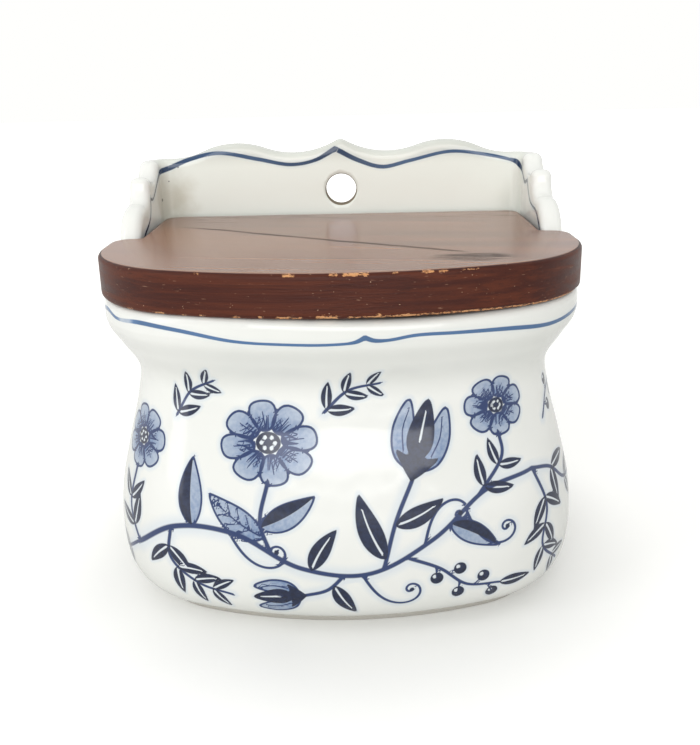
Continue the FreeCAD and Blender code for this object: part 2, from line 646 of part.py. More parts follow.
def check_document():
    """Stops unless every object of the document was worked out."""
    doc.recompute()
    failed = [o.Label for o in doc.Objects if "Invalid" in o.State or "Error" in o.State]
    if failed:
        raise RuntimeError(f"not worked out: {failed}")


def write_parts(pieces):
    """Writes each piece to its own file, once all of them are sound."""
    for piece in pieces:
        if piece.Shape.isNull() or not piece.Shape.isValid() or len(piece.Shape.Solids) != 1:
            raise RuntimeError(f"{piece.Label} is not one sound solid")
    os.makedirs("parts", exist_ok=True)
    for piece in pieces:
        piece.Shape.exportStep(f"parts/{piece.Label}.step")
        print(piece.Label, round(piece.Shape.Volume), piece.Shape.BoundBox)


pieces = [
    make_pot(),
    make_lid(),
    make_pin("left", f"sizes.pin_recess - {WING_OUTSIDE}"),
    make_pin("right", f"{HALF_TONGUE} - sizes.pin_grip"),
]
check_document()
write_parts(pieces)
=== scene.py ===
import math

import bpy
import numpy as np
from mathutils import Euler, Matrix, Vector


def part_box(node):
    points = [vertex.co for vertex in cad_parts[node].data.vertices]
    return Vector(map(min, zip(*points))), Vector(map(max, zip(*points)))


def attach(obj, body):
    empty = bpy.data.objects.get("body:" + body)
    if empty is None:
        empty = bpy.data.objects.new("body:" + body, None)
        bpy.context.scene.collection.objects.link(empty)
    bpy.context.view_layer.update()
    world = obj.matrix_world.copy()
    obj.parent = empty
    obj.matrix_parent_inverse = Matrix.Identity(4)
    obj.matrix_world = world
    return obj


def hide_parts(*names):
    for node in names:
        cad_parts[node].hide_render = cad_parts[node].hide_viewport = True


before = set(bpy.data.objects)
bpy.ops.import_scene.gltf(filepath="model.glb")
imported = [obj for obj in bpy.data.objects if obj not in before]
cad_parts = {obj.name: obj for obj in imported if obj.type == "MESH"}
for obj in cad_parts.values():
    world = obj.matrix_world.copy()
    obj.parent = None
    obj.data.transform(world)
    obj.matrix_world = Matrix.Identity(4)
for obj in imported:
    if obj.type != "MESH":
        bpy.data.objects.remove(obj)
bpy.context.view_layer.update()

# Shapes are worked out in millimetres in the part's frame: +X right, front to -Y, +Z up.
MM = 0.001
TAU = 2 * math.pi
DOWN = 1.5 * math.pi


def span(node):
    """Lowest and highest corner of a CAD node, in millimetres."""
    low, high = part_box(node)
    return np.array(low) / MM, np.array(high) / MM


lid_low, lid_high = span("lid_board")
pot_high = span("porcelain_body")[1]
pin_low, pin_high = span("hinge_pin_right")

# Lid and the bow front that every level of the pot shares
HALF_LID = lid_high[0]
RIM = lid_low[2]
LID_TOP = lid_high[2]
LID_REAR = lid_high[1]
FRONT_RADIUS = 133.0
CORNER_RADIUS = 37.0
EAR_WIDTH = 8.1
EAR_RADIUS = 0.72 * EAR_WIDTH
NOTCH_RADIUS = 0.85
EAR_SIDE = 9.0
TONGUE_CORNER = 5.0
LID_ROUND = 1.3
HALF_TONGUE = HALF_LID - EAR_WIDTH
FRONT_CENTRE = lid_low[1] + FRONT_RADIUS
CORNER_X = HALF_LID - CORNER_RADIUS
CORNER_Y = FRONT_CENTRE - math.sqrt((FRONT_RADIUS - CORNER_RADIUS) ** 2 - CORNER_X**2)
MEETING = math.asin(CORNER_X / (FRONT_RADIUS - CORNER_RADIUS))
EAR_REAR = CORNER_Y + EAR_SIDE + EAR_RADIUS

# Pot: walls, hanging back and wings
BACK = pot_high[1]
CREST = pot_high[2]
PLATE_THICKNESS = 6.5
PLATE_FACE = BACK - PLATE_THICKNESS
RIM_INSET = 0.5
TONGUE_GAP = 1.0
MOUTH_INSET = EAR_WIDTH - TONGUE_GAP
BACK_TURN = 9.0
INNER_TURN = 3.5
EDGE_ROUND = 2.4
WING_FACE = HALF_LID - MOUTH_INSET
WING_FOOT = 1.2
EAR_GAP = 0.7
WING_FRONT = EAR_REAR + EAR_GAP + WING_FOOT
TIP_EXTRA = 0.4
TIP = EDGE_ROUND + TIP_EXTRA
TURN_GAP = 0.4
WING_CORNER = PLATE_FACE - INNER_TURN - TURN_GAP
CREST_END = WING_FACE - INNER_TURN - TURN_GAP
SCALLOP = 10.0
CUSP_REACH = 16.0
CUSP_DROP = 9.4
CUSP_HEIGHT = CREST - CUSP_DROP
HOLLOW_DROP = 17.0
HOLLOW_HEIGHT = CREST - HOLLOW_DROP
SHOULDER_SHARE = 0.77
SHOULDER = SHOULDER_SHARE * (HOLLOW_HEIGHT - RIM - WING_FOOT)

# Crest: its peak, and places and drops of the dips, the humps and the corners as shares of the half width
PEAK = EDGE_ROUND + 1.0
DIP_PLACE, DIP_DROP = 0.26 * WING_FACE, 0.067 * WING_FACE
HUMP_PLACE, HUMP_DROP = 0.58 * WING_FACE, 0.0115 * WING_FACE
CORNER_HEIGHT = CREST - 0.088 * WING_FACE

# Hanging hole and pin holes
HANG_RADIUS = 5.35
HANG_ROUND = 0.8
HANG_DROP = 17.0
HANG_HEIGHT = CREST - HANG_DROP
PIN_PLAY = 0.08
PIN_HOLE_RADIUS = (pin_high[2] - pin_low[2]) / 2 + PIN_PLAY

# Sag of the fired rim under the lid's front, to the right of the middle, which fades out down to the collar
COLLAR = 0.937 * RIM
SAG_PLACE, SAG_REACH, SAG_DEPTH = 18.0, 52.0, 1.0

# Foot ring
FOOT_HEIGHT = 2.3
FOOT_INSET = 10.3
FOOT_BACK = BACK - 5.0
FOOT_WIDTH = 5.0
FOOT_RECESS = 1.4
FOOT_EASE = 0.4

# Inset of the wall from the lid's outline against height, outside and inside
OUTER_WALL = [
    (9.9, FOOT_HEIGHT), (4.1, 5.9), (0.75, 11.3), (-0.62, 20.5), (0.15, 33.88), (3.91, 49.96),
    (7.62, 63.89), (8.7, 73.53), (4.35, 81.43), (1.16, 86.54), (RIM_INSET, 89.02),
]
INNER_WALL = [
    (MOUTH_INSET, 89.02), (7.76, 86.54), (9.55, 81.43), (13.9, 73.53), (12.82, 63.89), (9.11, 49.96),
    (5.35, 33.88), (4.5, 19.95), (10.5, 10.37), (17.0, 7.0),
]

# Spacing of the mesh on the painted front, and elsewhere; columns in front of a wing and round a back corner
FINE = 0.62
COARSE = 1.2
FORE_COLUMNS = 12
CORNER_COLUMNS = 13
# Points of a smooth curve between two knots, before they are spaced evenly
CURVE_STEPS = 40


def toward(angle):
    """Unit vectors at angles in radians from the first axis."""
    return np.stack([np.cos(angle), np.sin(angle)], axis=-1)


def runs(points):
    """How far along its line each point lies."""
    return np.concatenate([[0], np.cumsum(np.linalg.norm(np.diff(points, axis=0), axis=1))])


def smooth_curve(knots, spacing):
    """Points at even spacing along a smooth curve through the knots."""
    knots = np.array(knots, float)
    padded = np.vstack([2 * knots[0] - knots[1], knots, 2 * knots[-1] - knots[-2]])
    gaps = np.sqrt(np.linalg.norm(np.diff(padded, axis=0), axis=1))
    times = np.concatenate([[0], np.cumsum(gaps)])

    def blend(first, second, start, end):
        return (end - t) / (end - start) * first + (t - start) / (end - start) * second

    pieces = []
    for i in range(1, len(padded) - 2):
        t0, t1, t2, t3 = times[i - 1 : i + 3]
        p0, p1, p2, p3 = padded[i - 1 : i + 3]
        t = np.linspace(t1, t2, CURVE_STEPS, endpoint=False)[:, None]
        a1, a2, a3 = blend(p0, p1, t0, t1), blend(p1, p2, t1, t2), blend(p2, p3, t2, t3)
        b1, b2 = blend(a1, a2, t0, t2), blend(a2, a3, t1, t3)
        pieces.append(blend(b1, b2, t1, t2))
    dense = np.vstack(pieces + [knots[-1:]])
    lengths = runs(dense)
    wanted = np.linspace(0, lengths[-1], max(2, round(lengths[-1] / spacing) + 1))
    return np.stack([np.interp(wanted, lengths, dense[:, k]) for k in range(dense.shape[1])], axis=1)


def turn(centre, radius, start, end, spacing, hollow=False):
    """Points of an arc from start to end, and at each the unit direction into the material."""
    count = max(4, round(abs(end - start) * radius / spacing) + 1)
    angles = np.linspace(start, end, count)
    outward = toward(angles)
    return np.array(centre) + radius * outward, outward if hollow else -outward


def join(pieces):
    """One run of points and directions, without the doubled points where two pieces meet."""
    points = [pieces[0][0]] + [p[0][1:] for p in pieces[1:]]
    inward = [pieces[0][1]] + [p[1][1:] for p in pieces[1:]]
    return np.vstack(points), np.vstack(inward)


def wing_edge():
    """Edge of a wing seen from the side, as (y, z), from the rim up over the shoulder to the corner."""
    hollow_y, hollow_low = WING_FRONT + SHOULDER, HOLLOW_HEIGHT
    cusp_y, cusp_z = WING_CORNER - CUSP_REACH, CUSP_HEIGHT - TIP
    corner_z = CORNER_HEIGHT - TIP
    fall, reach = cusp_z + TIP - hollow_low, cusp_y - hollow_y
    hollow = (reach**2 + fall**2) / (2 * fall) - TIP
    hollow_z = hollow_low + hollow
    half = math.hypot(WING_CORNER - cusp_y, corner_z - cusp_z) / 2
    lean = math.atan2(corner_z - cusp_z, WING_CORNER - cusp_y)
    rise = math.sqrt((SCALLOP + TIP) ** 2 - half**2)
    scallop_y = (WING_CORNER + cusp_y) / 2 - rise * math.sin(lean)
    scallop_z = (corner_z + cusp_z) / 2 + rise * math.cos(lean)
    to_cusp = math.atan2(cusp_z - scallop_z, cusp_y - scallop_y)
    to_corner = math.atan2(corner_z - scallop_z, WING_CORNER - scallop_y)
    from_cusp = math.atan2(hollow_z - cusp_z, hollow_y - cusp_y)
    to_hollow = from_cusp + math.pi + (TAU if from_cusp < 0 else 0)
    upright = np.linspace((WING_FRONT, RIM + WING_FOOT), (WING_FRONT, hollow_low - SHOULDER), 6)
    return join([
        turn((WING_FRONT - WING_FOOT, RIM + WING_FOOT), WING_FOOT, DOWN, TAU, 0.3, hollow=True),
        (upright, np.tile((1.0, 0.0), (len(upright), 1))),
        turn((hollow_y, hollow_low - SHOULDER), SHOULDER, math.pi, math.pi / 2, 1.0),
        turn((hollow_y, hollow_z), hollow, DOWN, to_hollow, 1.0, hollow=True),
        turn((cusp_y, cusp_z), TIP, from_cusp, to_cusp + math.pi, 0.5),
        turn((scallop_y, scallop_z), SCALLOP, to_cusp, to_corner, 0.7, hollow=True),
        turn((WING_CORNER, corner_z), TIP, to_corner + math.pi, math.pi / 2, 0.5),
    ])


def crest_edge():
    """Edge of the back plate seen from the front, as (x, z), from a corner to the peak in the middle."""
    rise = DIP_DROP - HUMP_DROP
    dip = (DIP_PLACE**2 + DIP_DROP**2) / (2 * DIP_DROP) - PEAK
    hump = ((HUMP_PLACE - DIP_PLACE) ** 2 + rise**2) / (2 * rise) - dip
    peak_z, dip_z, hump_z = CREST - PEAK, CREST - DIP_DROP + dip, CREST - HUMP_DROP - hump
    drop, run = CORNER_HEIGHT - hump_z, CREST_END - HUMP_PLACE
    blend = (run**2 + drop**2 - hump**2) / (2 * (hump - drop))
    inner = math.atan2(dip_z - peak_z, DIP_PLACE)
    outer = math.atan2(dip_z - hump_z, HUMP_PLACE - DIP_PLACE)
    end = math.atan2(CORNER_HEIGHT + blend - hump_z, run)
    return join([
        turn((CREST_END, CORNER_HEIGHT + blend), blend, DOWN, math.pi + end, COARSE, hollow=True),
        turn((HUMP_PLACE, hump_z), hump, end, math.pi - outer, COARSE),
        turn((DIP_PLACE, dip_z), dip, TAU - outer, math.pi + inner, COARSE, hollow=True),
        turn((0, peak_z), PEAK, inner, math.pi / 2, 0.5),
    ])




# A level of the pot is a chain of stretches: front bow, front corner, side, back corner and back
FRONT_BOW, FRONT_CORNER, SIDE, BACK_CORNER, BACK_LINE = range(5)


def level_points(stretch, share, inset, back, back_turn):
    """Points (x, y) of a level's right half, at a share of each stretch."""
    side = HALF_LID - inset
    bow = DOWN + share * MEETING
    bend = DOWN + MEETING + share * (math.pi / 2 - MEETING)
    corner = share * math.pi / 2
    x = np.choose(stretch, [
        (FRONT_RADIUS - inset) * np.cos(bow),
        CORNER_X + (CORNER_RADIUS - inset) * np.cos(bend),
        np.full_like(share, side),
        side - back_turn + back_turn * np.cos(corner),
        (1 - share) * (side - back_turn),
    ])
    y = np.choose(stretch, [
        FRONT_CENTRE + (FRONT_RADIUS - inset) * np.sin(bow),
        CORNER_Y + (CORNER_RADIUS - inset) * np.sin(bend),
        CORNER_Y + share * (back - back_turn - CORNER_Y),
        back - back_turn + back_turn * np.sin(corner),
        np.full_like(share, back),
    ])
    return np.stack([x, y], axis=1)


def level_normals(stretch, share):
    """Unit directions out of a level's right half."""
    angle = np.choose(stretch, [
        DOWN + share * MEETING,
        DOWN + MEETING + share * (math.pi / 2 - MEETING),
        np.zeros_like(share),
        share * math.pi / 2,
        np.full_like(share, math.pi / 2),
    ])
    return toward(angle)


class Columns:
    """The upright lines of the mesh on the pot's right half, from the front's middle to the back's."""

    def __init__(self):
        self.parts = []

    def add(self, stretch, share, inner_stretch, inner_share, top, inner_top, into, inner_into, inward):
        """Places on the outer and inner wall, top edges, directions into the wall and into the material."""
        count = len(share)
        places = (stretch, share, inner_stretch, inner_share)
        vectors = (top, inner_top, into, inner_into, inward)
        whole = [np.broadcast_to(np.asarray(v), (count,)) for v in places]
        spatial = [np.broadcast_to(np.asarray(v, float), (count, 3)) for v in vectors]
        self.parts.append(whole + spatial)

    def finish(self):
        fields = [np.concatenate(field) for field in zip(*self.parts)]
        self.stretch, self.share, self.inner_stretch, self.inner_share = fields[:4]
        self.top, self.inner_top, self.into, self.inner_into, self.inward = fields[4:]
        return self


def lifted(points, height):
    """Plan points (x, y) raised to a height."""
    return np.column_stack([points, np.full(len(points), height)])


def side_share(y, back, back_turn):
    """Share of the side stretch at a given y."""
    return (y - CORNER_Y) / (back - back_turn - CORNER_Y)


def pot_columns():
    """The columns of the front, the sides, the wings and the hanging back."""
    columns = Columns()
    # Front and the side as far as the wing: the top is the level rim
    bow = np.linspace(0, 1, round(FRONT_RADIUS * MEETING / FINE), endpoint=False)
    bend = np.linspace(0, 1, round(CORNER_RADIUS * (math.pi / 2 - MEETING) / FINE), endpoint=False)
    fore_y = np.linspace(CORNER_Y, WING_FRONT - WING_FOOT, FORE_COLUMNS, endpoint=False)
    for stretch, share, inner_share in (
        (FRONT_BOW, bow, bow),
        (FRONT_CORNER, bend, bend),
        (SIDE, side_share(fore_y, BACK, BACK_TURN), side_share(fore_y, PLATE_FACE, INNER_TURN)),
    ):
        kinds = np.full(len(share), stretch)
        top = lifted(level_points(kinds, share, RIM_INSET, BACK, BACK_TURN), RIM)
        inner_top = lifted(level_points(kinds, inner_share, MOUTH_INSET, PLATE_FACE, INNER_TURN), RIM)
        normal = lifted(level_normals(kinds, share), 0.0)
        columns.add(stretch, share, stretch, inner_share, top, inner_top, -normal, normal, (0, 0, -1))
    # Wing: its columns fan out from the edge to even places on the side
    edge, inward = wing_edge()
    contact = edge + EDGE_ROUND * inward
    run = runs(contact)
    base_y = np.interp(run, (0, run[-1]), (edge[0, 0], edge[-1, 0]))[:-1]
    edge, inward = edge[:-1], inward[:-1]
    top = np.column_stack([np.full(len(edge), HALF_LID - RIM_INSET), edge])
    inner_top = np.column_stack([np.full(len(edge), WING_FACE), edge])
    inward = np.column_stack([np.zeros(len(edge)), inward])
    share, inner_share = side_share(base_y, BACK, BACK_TURN), side_share(base_y, PLATE_FACE, INNER_TURN)
    columns.add(SIDE, share, SIDE, inner_share, top, inner_top, (-1, 0, 0), (1, 0, 0), inward)
    # Back corner, level on top
    places = np.linspace(0, 1, CORNER_COLUMNS, endpoint=False)
    walls = []
    for inset, back, back_turn in ((RIM_INSET, BACK, BACK_TURN), (MOUTH_INSET, PLATE_FACE, INNER_TURN)):
        straight = back - back_turn - WING_CORNER
        arc_length = back_turn * math.pi / 2
        over = HALF_LID - inset - back_turn - CREST_END
        way = places * (straight + arc_length + over)
        stretch = np.select([way < straight, way < straight + arc_length], [SIDE, BACK_CORNER], BACK_LINE)
        share = np.select(
            [stretch == SIDE, stretch == BACK_CORNER],
            [side_share(WING_CORNER + way, back, back_turn), (way - straight) / arc_length],
            (way - straight - arc_length) / (HALF_LID - inset - back_turn),
        )
        top = lifted(level_points(stretch, share, inset, back, back_turn), CORNER_HEIGHT)
        walls.append((stretch, share, top, lifted(level_normals(stretch, share), 0.0)))
    (stretch, share, top, normal), (inner_stretch, inner_share, inner_top, inner_normal) = walls
    columns.add(stretch, share, inner_stretch, inner_share, top, inner_top, -normal, inner_normal, (0, 0, -1))
    # Hanging back, under the crest
    edge, inward = crest_edge()
    share = 1 - edge[:, 0] / (HALF_LID - RIM_INSET - BACK_TURN)
    inner_share = 1 - edge[:, 0] / (WING_FACE - INNER_TURN)
    top = np.column_stack([edge[:, 0], np.full(len(edge), BACK), edge[:, 1]])
    inner_top = np.column_stack([edge[:, 0], np.full(len(edge), PLATE_FACE), edge[:, 1]])
    inward = np.column_stack([inward[:, 0], np.zeros(len(edge)), inward[:, 1]])
    columns.add(BACK_LINE, share, BACK_LINE, inner_share, top, inner_top, (0, -1, 0), (0, 1, 0), inward)
    return columns.finish()


def pot_rows(columns):
    """Rows of the pot's right half: from under the foot up the outside, over the edge and down the inside."""

    def outside(inset, height):
        points = level_points(columns.stretch, columns.share, inset, BACK, BACK_TURN)
        return lifted(points, height)

    def foot(inset, height, shrink=1.0):
        back_turn = BACK_TURN + inset / FOOT_WIDTH * (INNER_TURN - BACK_TURN)
        back, inset = FOOT_BACK - inset, FOOT_INSET + inset
        points = level_points(columns.stretch, columns.share, inset, back, back_turn)
        return lifted(points * shrink, height)

    def inside(inset, height, shrink=1.0):
        points = level_points(columns.inner_stretch, columns.inner_share, inset, PLATE_FACE, INNER_TURN)
        return lifted(points * shrink, height)

    def rounded(top, into, turns):
        """Rows over the soft edge."""
        inward = columns.inward
        return [top + EDGE_ROUND * ((1 - math.sin(t)) * inward + (1 - math.cos(t)) * into) for t in turns]

    under = [foot(FOOT_WIDTH, FOOT_RECESS, shrink) for shrink in (0.03, 0.35, 0.7, 0.97, 1.0)]
    under += [
        foot(FOOT_WIDTH, FOOT_EASE),
        foot(FOOT_WIDTH - FOOT_EASE, 0.0),
        foot(FOOT_EASE, 0.0),
        foot(0.0, FOOT_EASE),
        foot(0.0, FOOT_HEIGHT - FOOT_EASE),
        foot(0.0, FOOT_HEIGHT),
    ]
    outer = [outside(inset, height) for inset, height in smooth_curve(OUTER_WALL, FINE)]
    contact = columns.top + EDGE_ROUND * columns.inward
    rise = [outer[-1] + share * (contact - outer[-1]) for share in np.linspace(0, 1, 15)[1:]]
    turns = np.linspace(0, math.pi / 2, 6)
    over = rounded(columns.top, columns.into, turns[1:])
    back_over = rounded(columns.inner_top, columns.inner_into, turns[::-1])
    inner = [inside(inset, height) for inset, height in smooth_curve(INNER_WALL, 4.0)]
    fall = [back_over[-1] + share * (inner[0] - back_over[-1]) for share in np.linspace(0, 1, 28)[1:-1]]
    floor = [inside(*INNER_WALL[-1], shrink) for shrink in (0.97, 0.6, 0.3, 0.03)]
    return np.array(under + outer + rise + over + back_over + fall + inner + floor)


def sagged(rows):
    """Rows of the pot with the sag of the rim."""
    across = np.clip(1 - np.abs(rows[..., 0] - SAG_PLACE) / SAG_REACH, 0, 1)
    up = np.clip((rows[..., 2] - COLLAR) / (RIM - EDGE_ROUND - COLLAR), 0, 1)
    depth = SAG_DEPTH * across * across * (3 - 2 * across) * up * (rows[..., 1] < CORNER_Y)
    return rows - depth[..., None] * np.array([0.0, 0.0, 1.0])


def loop_mesh(name, rows):
    """A closed mesh from rows of points, each row a closed loop, with a cap at both ends."""
    count, around = rows.shape[:2]
    index = np.arange(count * around).reshape(count, around)
    nxt = np.roll(index, -1, axis=1)
    quads = np.stack([index[:-1], nxt[:-1], nxt[1:], index[1:]], axis=-1).reshape(-1, 4)
    faces = quads.tolist() + [index[0, ::-1].tolist(), index[-1].tolist()]
    mesh = bpy.data.meshes.new(name)
    mesh.from_pydata((rows.reshape(-1, 3) * MM).tolist(), [], faces)
    mesh.polygons.foreach_set("use_smooth", [True] * len(mesh.polygons))
    mesh.update()
    made = bpy.data.objects.new(name, mesh)
    bpy.context.scene.collection.objects.link(made)
    return made


def whole_loop(half):
    """A row's right half and its mirror image as one loop, from the front's middle round by the right."""
    mirrored = half[..., 1:-1, :] * np.array([-1.0, 1.0, 1.0])
    return np.concatenate([half, mirrored[..., ::-1, :]], axis=-2)


def lathe(name, profile, centre, axis_y, segments=64):
    """A cutter turned round an axis along Y or X: profile pairs of (place along the axis, radius)."""
    angles = np.linspace(0, TAU, segments, endpoint=False)
    rows = []
    for along, radius in profile:
        u, v = radius * np.cos(angles), radius * np.sin(angles)
        lengthwise = np.full(segments, along)
        row = (v, lengthwise, u) if axis_y else (lengthwise, u, v)
        rows.append(np.stack(row, axis=1) + np.array(centre))
    return loop_mesh(name, np.array(rows))


def hang_profile():
    """Profile of the hanging hole, flared at both faces by its soft edge."""
    turns = np.linspace(0, 0.47 * math.pi, 7)
    flare = [(HANG_ROUND * (1 - math.sin(t)), HANG_RADIUS + HANG_ROUND * (1 - math.cos(t))) for t in turns]
    front = [(PLATE_FACE + depth, radius) for depth, radius in flare][::-1]
    rear = [(BACK - depth, radius) for depth, radius in flare]
    widest = front[0][1]
    return [(PLATE_FACE - 1, widest + 1)] + front + rear + [(BACK + 1, widest + 1)]


def cut(piece, cutters):
    """Cuts holes in a piece and removes the cutters."""
    for cutter in cutters:
        modifier = piece.modifiers.new("hole", "BOOLEAN")
        modifier.operation = "DIFFERENCE"
        modifier.solver = "EXACT"
        modifier.object = cutter
    bpy.context.view_layer.update()
    graph = bpy.context.evaluated_depsgraph_get()
    mesh = bpy.data.meshes.new_from_object(piece.evaluated_get(graph))
    piece.modifiers.clear()
    piece.data = mesh
    for cutter in cutters:
        bpy.data.objects.remove(cutter)


pot = loop_mesh("porcelain", sagged(whole_loop(pot_rows(pot_columns()))))
pin_place = (0.0, *((pin_low + pin_high) / 2)[1:])
pin_reach = HALF_LID + 5
cut(pot, [
    lathe("hang_cutter", hang_profile(), (0.0, 0.0, HANG_HEIGHT), True),
    lathe("pin_cutter", [(side * pin_reach, PIN_HOLE_RADIUS) for side in (-1, 1)], pin_place, False, 32),
])
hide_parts("porcelain_body")
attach(pot, "pot")


def measure(places, path):
    """Distance of each place from a path, the side it lies on and how far along the path it is."""
    start, step = path[:-1], np.diff(path, axis=0)
    length = np.linalg.norm(step, axis=1)
    offset = places[:, None] - start
    along = np.clip((offset * step).sum(axis=2) / length**2, 0, 1)
    distance = np.linalg.norm(offset - along[..., None] * step, axis=2)
    row, best = np.arange(len(places)), distance.argmin(axis=1)
    near = offset[row, best]
    side = np.where(step[best, 0] * near[:, 1] < step[best, 1] * near[:, 0], -1.0, 1.0)
    run = (np.cumsum(length) - length)[best] + along[row, best] * length[best]
    return distance[row, best], side, run / length.sum()


def within(places, outline):
    """Whether each place lies inside a closed outline."""
    x, y = places[:, :1], places[:, 1:]
    after = np.roll(outline, -1, axis=0)
    spans = (outline[:, 1] > y) != (after[:, 1] > y)
    rise = after[:, 1] - outline[:, 1]
    slope = (after[:, 0] - outline[:, 0]) / np.where(rise == 0, 1, rise)
    return (spans & (x < outline[:, 0] + (y - outline[:, 1]) * slope)).sum(axis=1) % 2 == 1


class Painting:
    """Distances in millimetres from places on the glaze to what is painted there, negative inside it."""

    FIELDS = ("solid", "wash", "tone", "line", "line_reach", "rib", "rib_reach", "spot")
    REACH = 2.5
    PEN = 0.25
    GRID = 0.35

    def __init__(self, places):
        self.places = places
        for name in self.FIELDS:
            setattr(self, name, np.full(len(places), self.empty(name)))

    @classmethod
    def empty(cls, name):
        """What a field holds where nothing is painted."""
        return 0.0 if name == "tone" else cls.REACH

    def near(self, path):
        low, high = path.min(axis=0) - self.REACH, path.max(axis=0) + self.REACH
        return np.flatnonzero(((self.places > low) & (self.places < high)).all(axis=1))

    def shape(self, outline):
        """Places near a closed outline and their distances from it."""
        closed = np.vstack([outline, outline[:1]])
        rows = self.near(closed)
        distance = measure(self.places[rows], closed)[0]
        return rows, np.where(within(self.places[rows], outline), -distance, distance)

    def fill(self, outline):
        """A shape in the dark blue."""
        rows, distance = self.shape(outline)
        self.solid[rows] = np.minimum(self.solid[rows], distance)

    def tint(self, outline, root, tip, start, end):
        """A shape in the thin blue, whose strength goes from start at its root to end at its tip."""
        rows, distance = self.shape(outline)
        way = np.array(tip) - root
        share = np.clip((self.places[rows] - root) @ way / (way @ way), 0, 1)
        nearer = distance < self.wash[rows]
        self.tone[rows] = np.where(nearer, start + share * (end - start), self.tone[rows])
        self.wash[rows] = np.minimum(self.wash[rows], distance)

    def trail(self, path, width, end_width, line, reach):
        """A line that changes its width: signed distances in pen widths, and how near it is at all."""
        rows = self.near(path)
        distance, side, run = measure(self.places[rows], path)
        scale = self.PEN / ((width + run * (end_width - width)) / 2)
        nearer = distance * scale < np.abs(line[rows])
        line[rows] = np.where(nearer, side * distance * scale, line[rows])
        reach[rows] = np.minimum(reach[rows], (distance - self.GRID) * scale)

    def stroke(self, path, width, end_width):
        """A pen line."""
        self.trail(path, width, end_width, self.line, self.line_reach)

    def spare(self, path, width, end_width):
        """A line left white in the dark blue."""
        self.trail(path, width, end_width, self.rib, self.rib_reach)

    def dot(self, place, size):
        """A round spot left white in the dark blue."""
        rows = self.near(np.array([place]))
        distance = np.linalg.norm(self.places[rows] - place, axis=1) - size / 2
        self.spot[rows] = np.minimum(self.spot[rows], distance)

    def outline(self, shape, width):
        """A pen line round a shape."""
        self.stroke(np.vstack([shape, shape[:1]]), width, width)


def moved(points, place, angle, size=1.0):
    """Points turned by an angle in degrees, scaled and moved to a place."""
    turn_by = math.radians(angle)
    spin = np.array([toward(turn_by), toward(turn_by + math.pi / 2)])
    return size * np.asarray(points, float) @ spin + place


# Where a leaf is widest, as a share of its length
LEAF_FULLEST = 0.42
# How much shorter the last leaf of a stem is than the first
LEAF_SHRINK = 0.35
# Height of a flower as a share of its width
FLOWER_SQUASH = 0.82
# A tulip of unit size that opens along X: an outer petal and its vein, the middle petal and the calyx
TULIP_PETAL = ((0, 0), (0.2, 0.34), (0.62, 0.45), (1.05, 0.30), (0.72, 0.14), (0.35, 0.03), (0.01, 0))
TULIP_VEIN = ((0.3, 0.22), (0.6, 0.30), (0.9, 0.27))
TULIP_MIDDLE = ((0.1, 0), (0.42, 0.20), (0.78, 0.17), (1.12, 0), (0.78, -0.17), (0.42, -0.20), (0.11, 0))
TULIP_FOOT = (
    (-0.12, 0), (0.06, 0.17), (0.3, 0.34), (0.26, 0.14), (0.42, 0), (0.26, -0.14), (0.3, -0.34),
    (0.06, -0.17), (-0.11, 0),
)
# Pen widths of outlines, and of veins from their root to their tip
OUTLINE = 0.65
VEIN, VEIN_TIP = 0.5, 0.3


def blade(length, width, bend):
    """A leaf along the first axis: its rib, and its left and right edges from the base to the tip."""
    share = np.linspace(0, 1, 19)
    rib = np.stack([length * share, bend * length * share**2], axis=1)
    slope = np.stack([np.ones_like(share), 2 * bend * share], axis=1)
    normal = np.stack([-slope[:, 1], slope[:, 0]], axis=1) / np.linalg.norm(slope, axis=1)[:, None]
    power = math.log(0.5) / math.log(LEAF_FULLEST)
    half = width / 2 * np.sin(math.pi * share**power) ** 0.85
    return rib, rib + normal * half[:, None], rib - normal * half[:, None]


def leaf(painting, place, angle, length, width, bend, kind="solid"):
    """A pointed leaf: solid with a white rib, half solid and half tinted, or tinted with veins."""
    rib, left, right = (moved(p, place, angle) for p in blade(length, width, bend))
    whole = np.vstack([left, right[-2:0:-1]])
    if kind == "solid":
        painting.fill(whole)
        painting.spare(rib[2:-4], 0.65, 0.35)
        return
    if kind == "half":
        painting.fill(np.vstack([left, rib[-2:0:-1]]))
        painting.tint(np.vstack([rib, right[-2:0:-1]]), rib[0], rib[-1], 0.75, 0.35)
    else:
        painting.tint(whole, rib[0], rib[-1], 0.9, 0.25)
        painting.stroke(rib[:-1], 0.55, 0.3)
        for i in range(4, 14, 3):
            for edge in (left, right):
                end = 0.25 * rib[i + 3] + 0.75 * edge[i + 3]
                painting.stroke(np.linspace(rib[i], end, 5), 0.4, 0.25)
    painting.outline(whole, 0.6)


def stem(painting, knots, width, end_width):
    """A stem through the knots, which gives its points."""
    path = smooth_curve(knots, 1.0)
    painting.stroke(path, width, end_width)
    return path


def at(path, share):
    """The place and the heading in degrees at a share of a path."""
    index = min(len(path) - 2, int(share * (len(path) - 1)))
    way = path[index + 1] - path[index]
    return path[index], math.degrees(math.atan2(way[1], way[0]))


def leafy(painting, path, shares, length, width, spread):
    """Leaves in pairs along a stem, shorter towards its end."""
    for share in shares:
        place, heading = at(path, share)
        size = 1 - LEAF_SHRINK * share
        for side in (1, -1):
            leaf(painting, place, heading + side * spread, size * length, size * width, -0.15 * side)


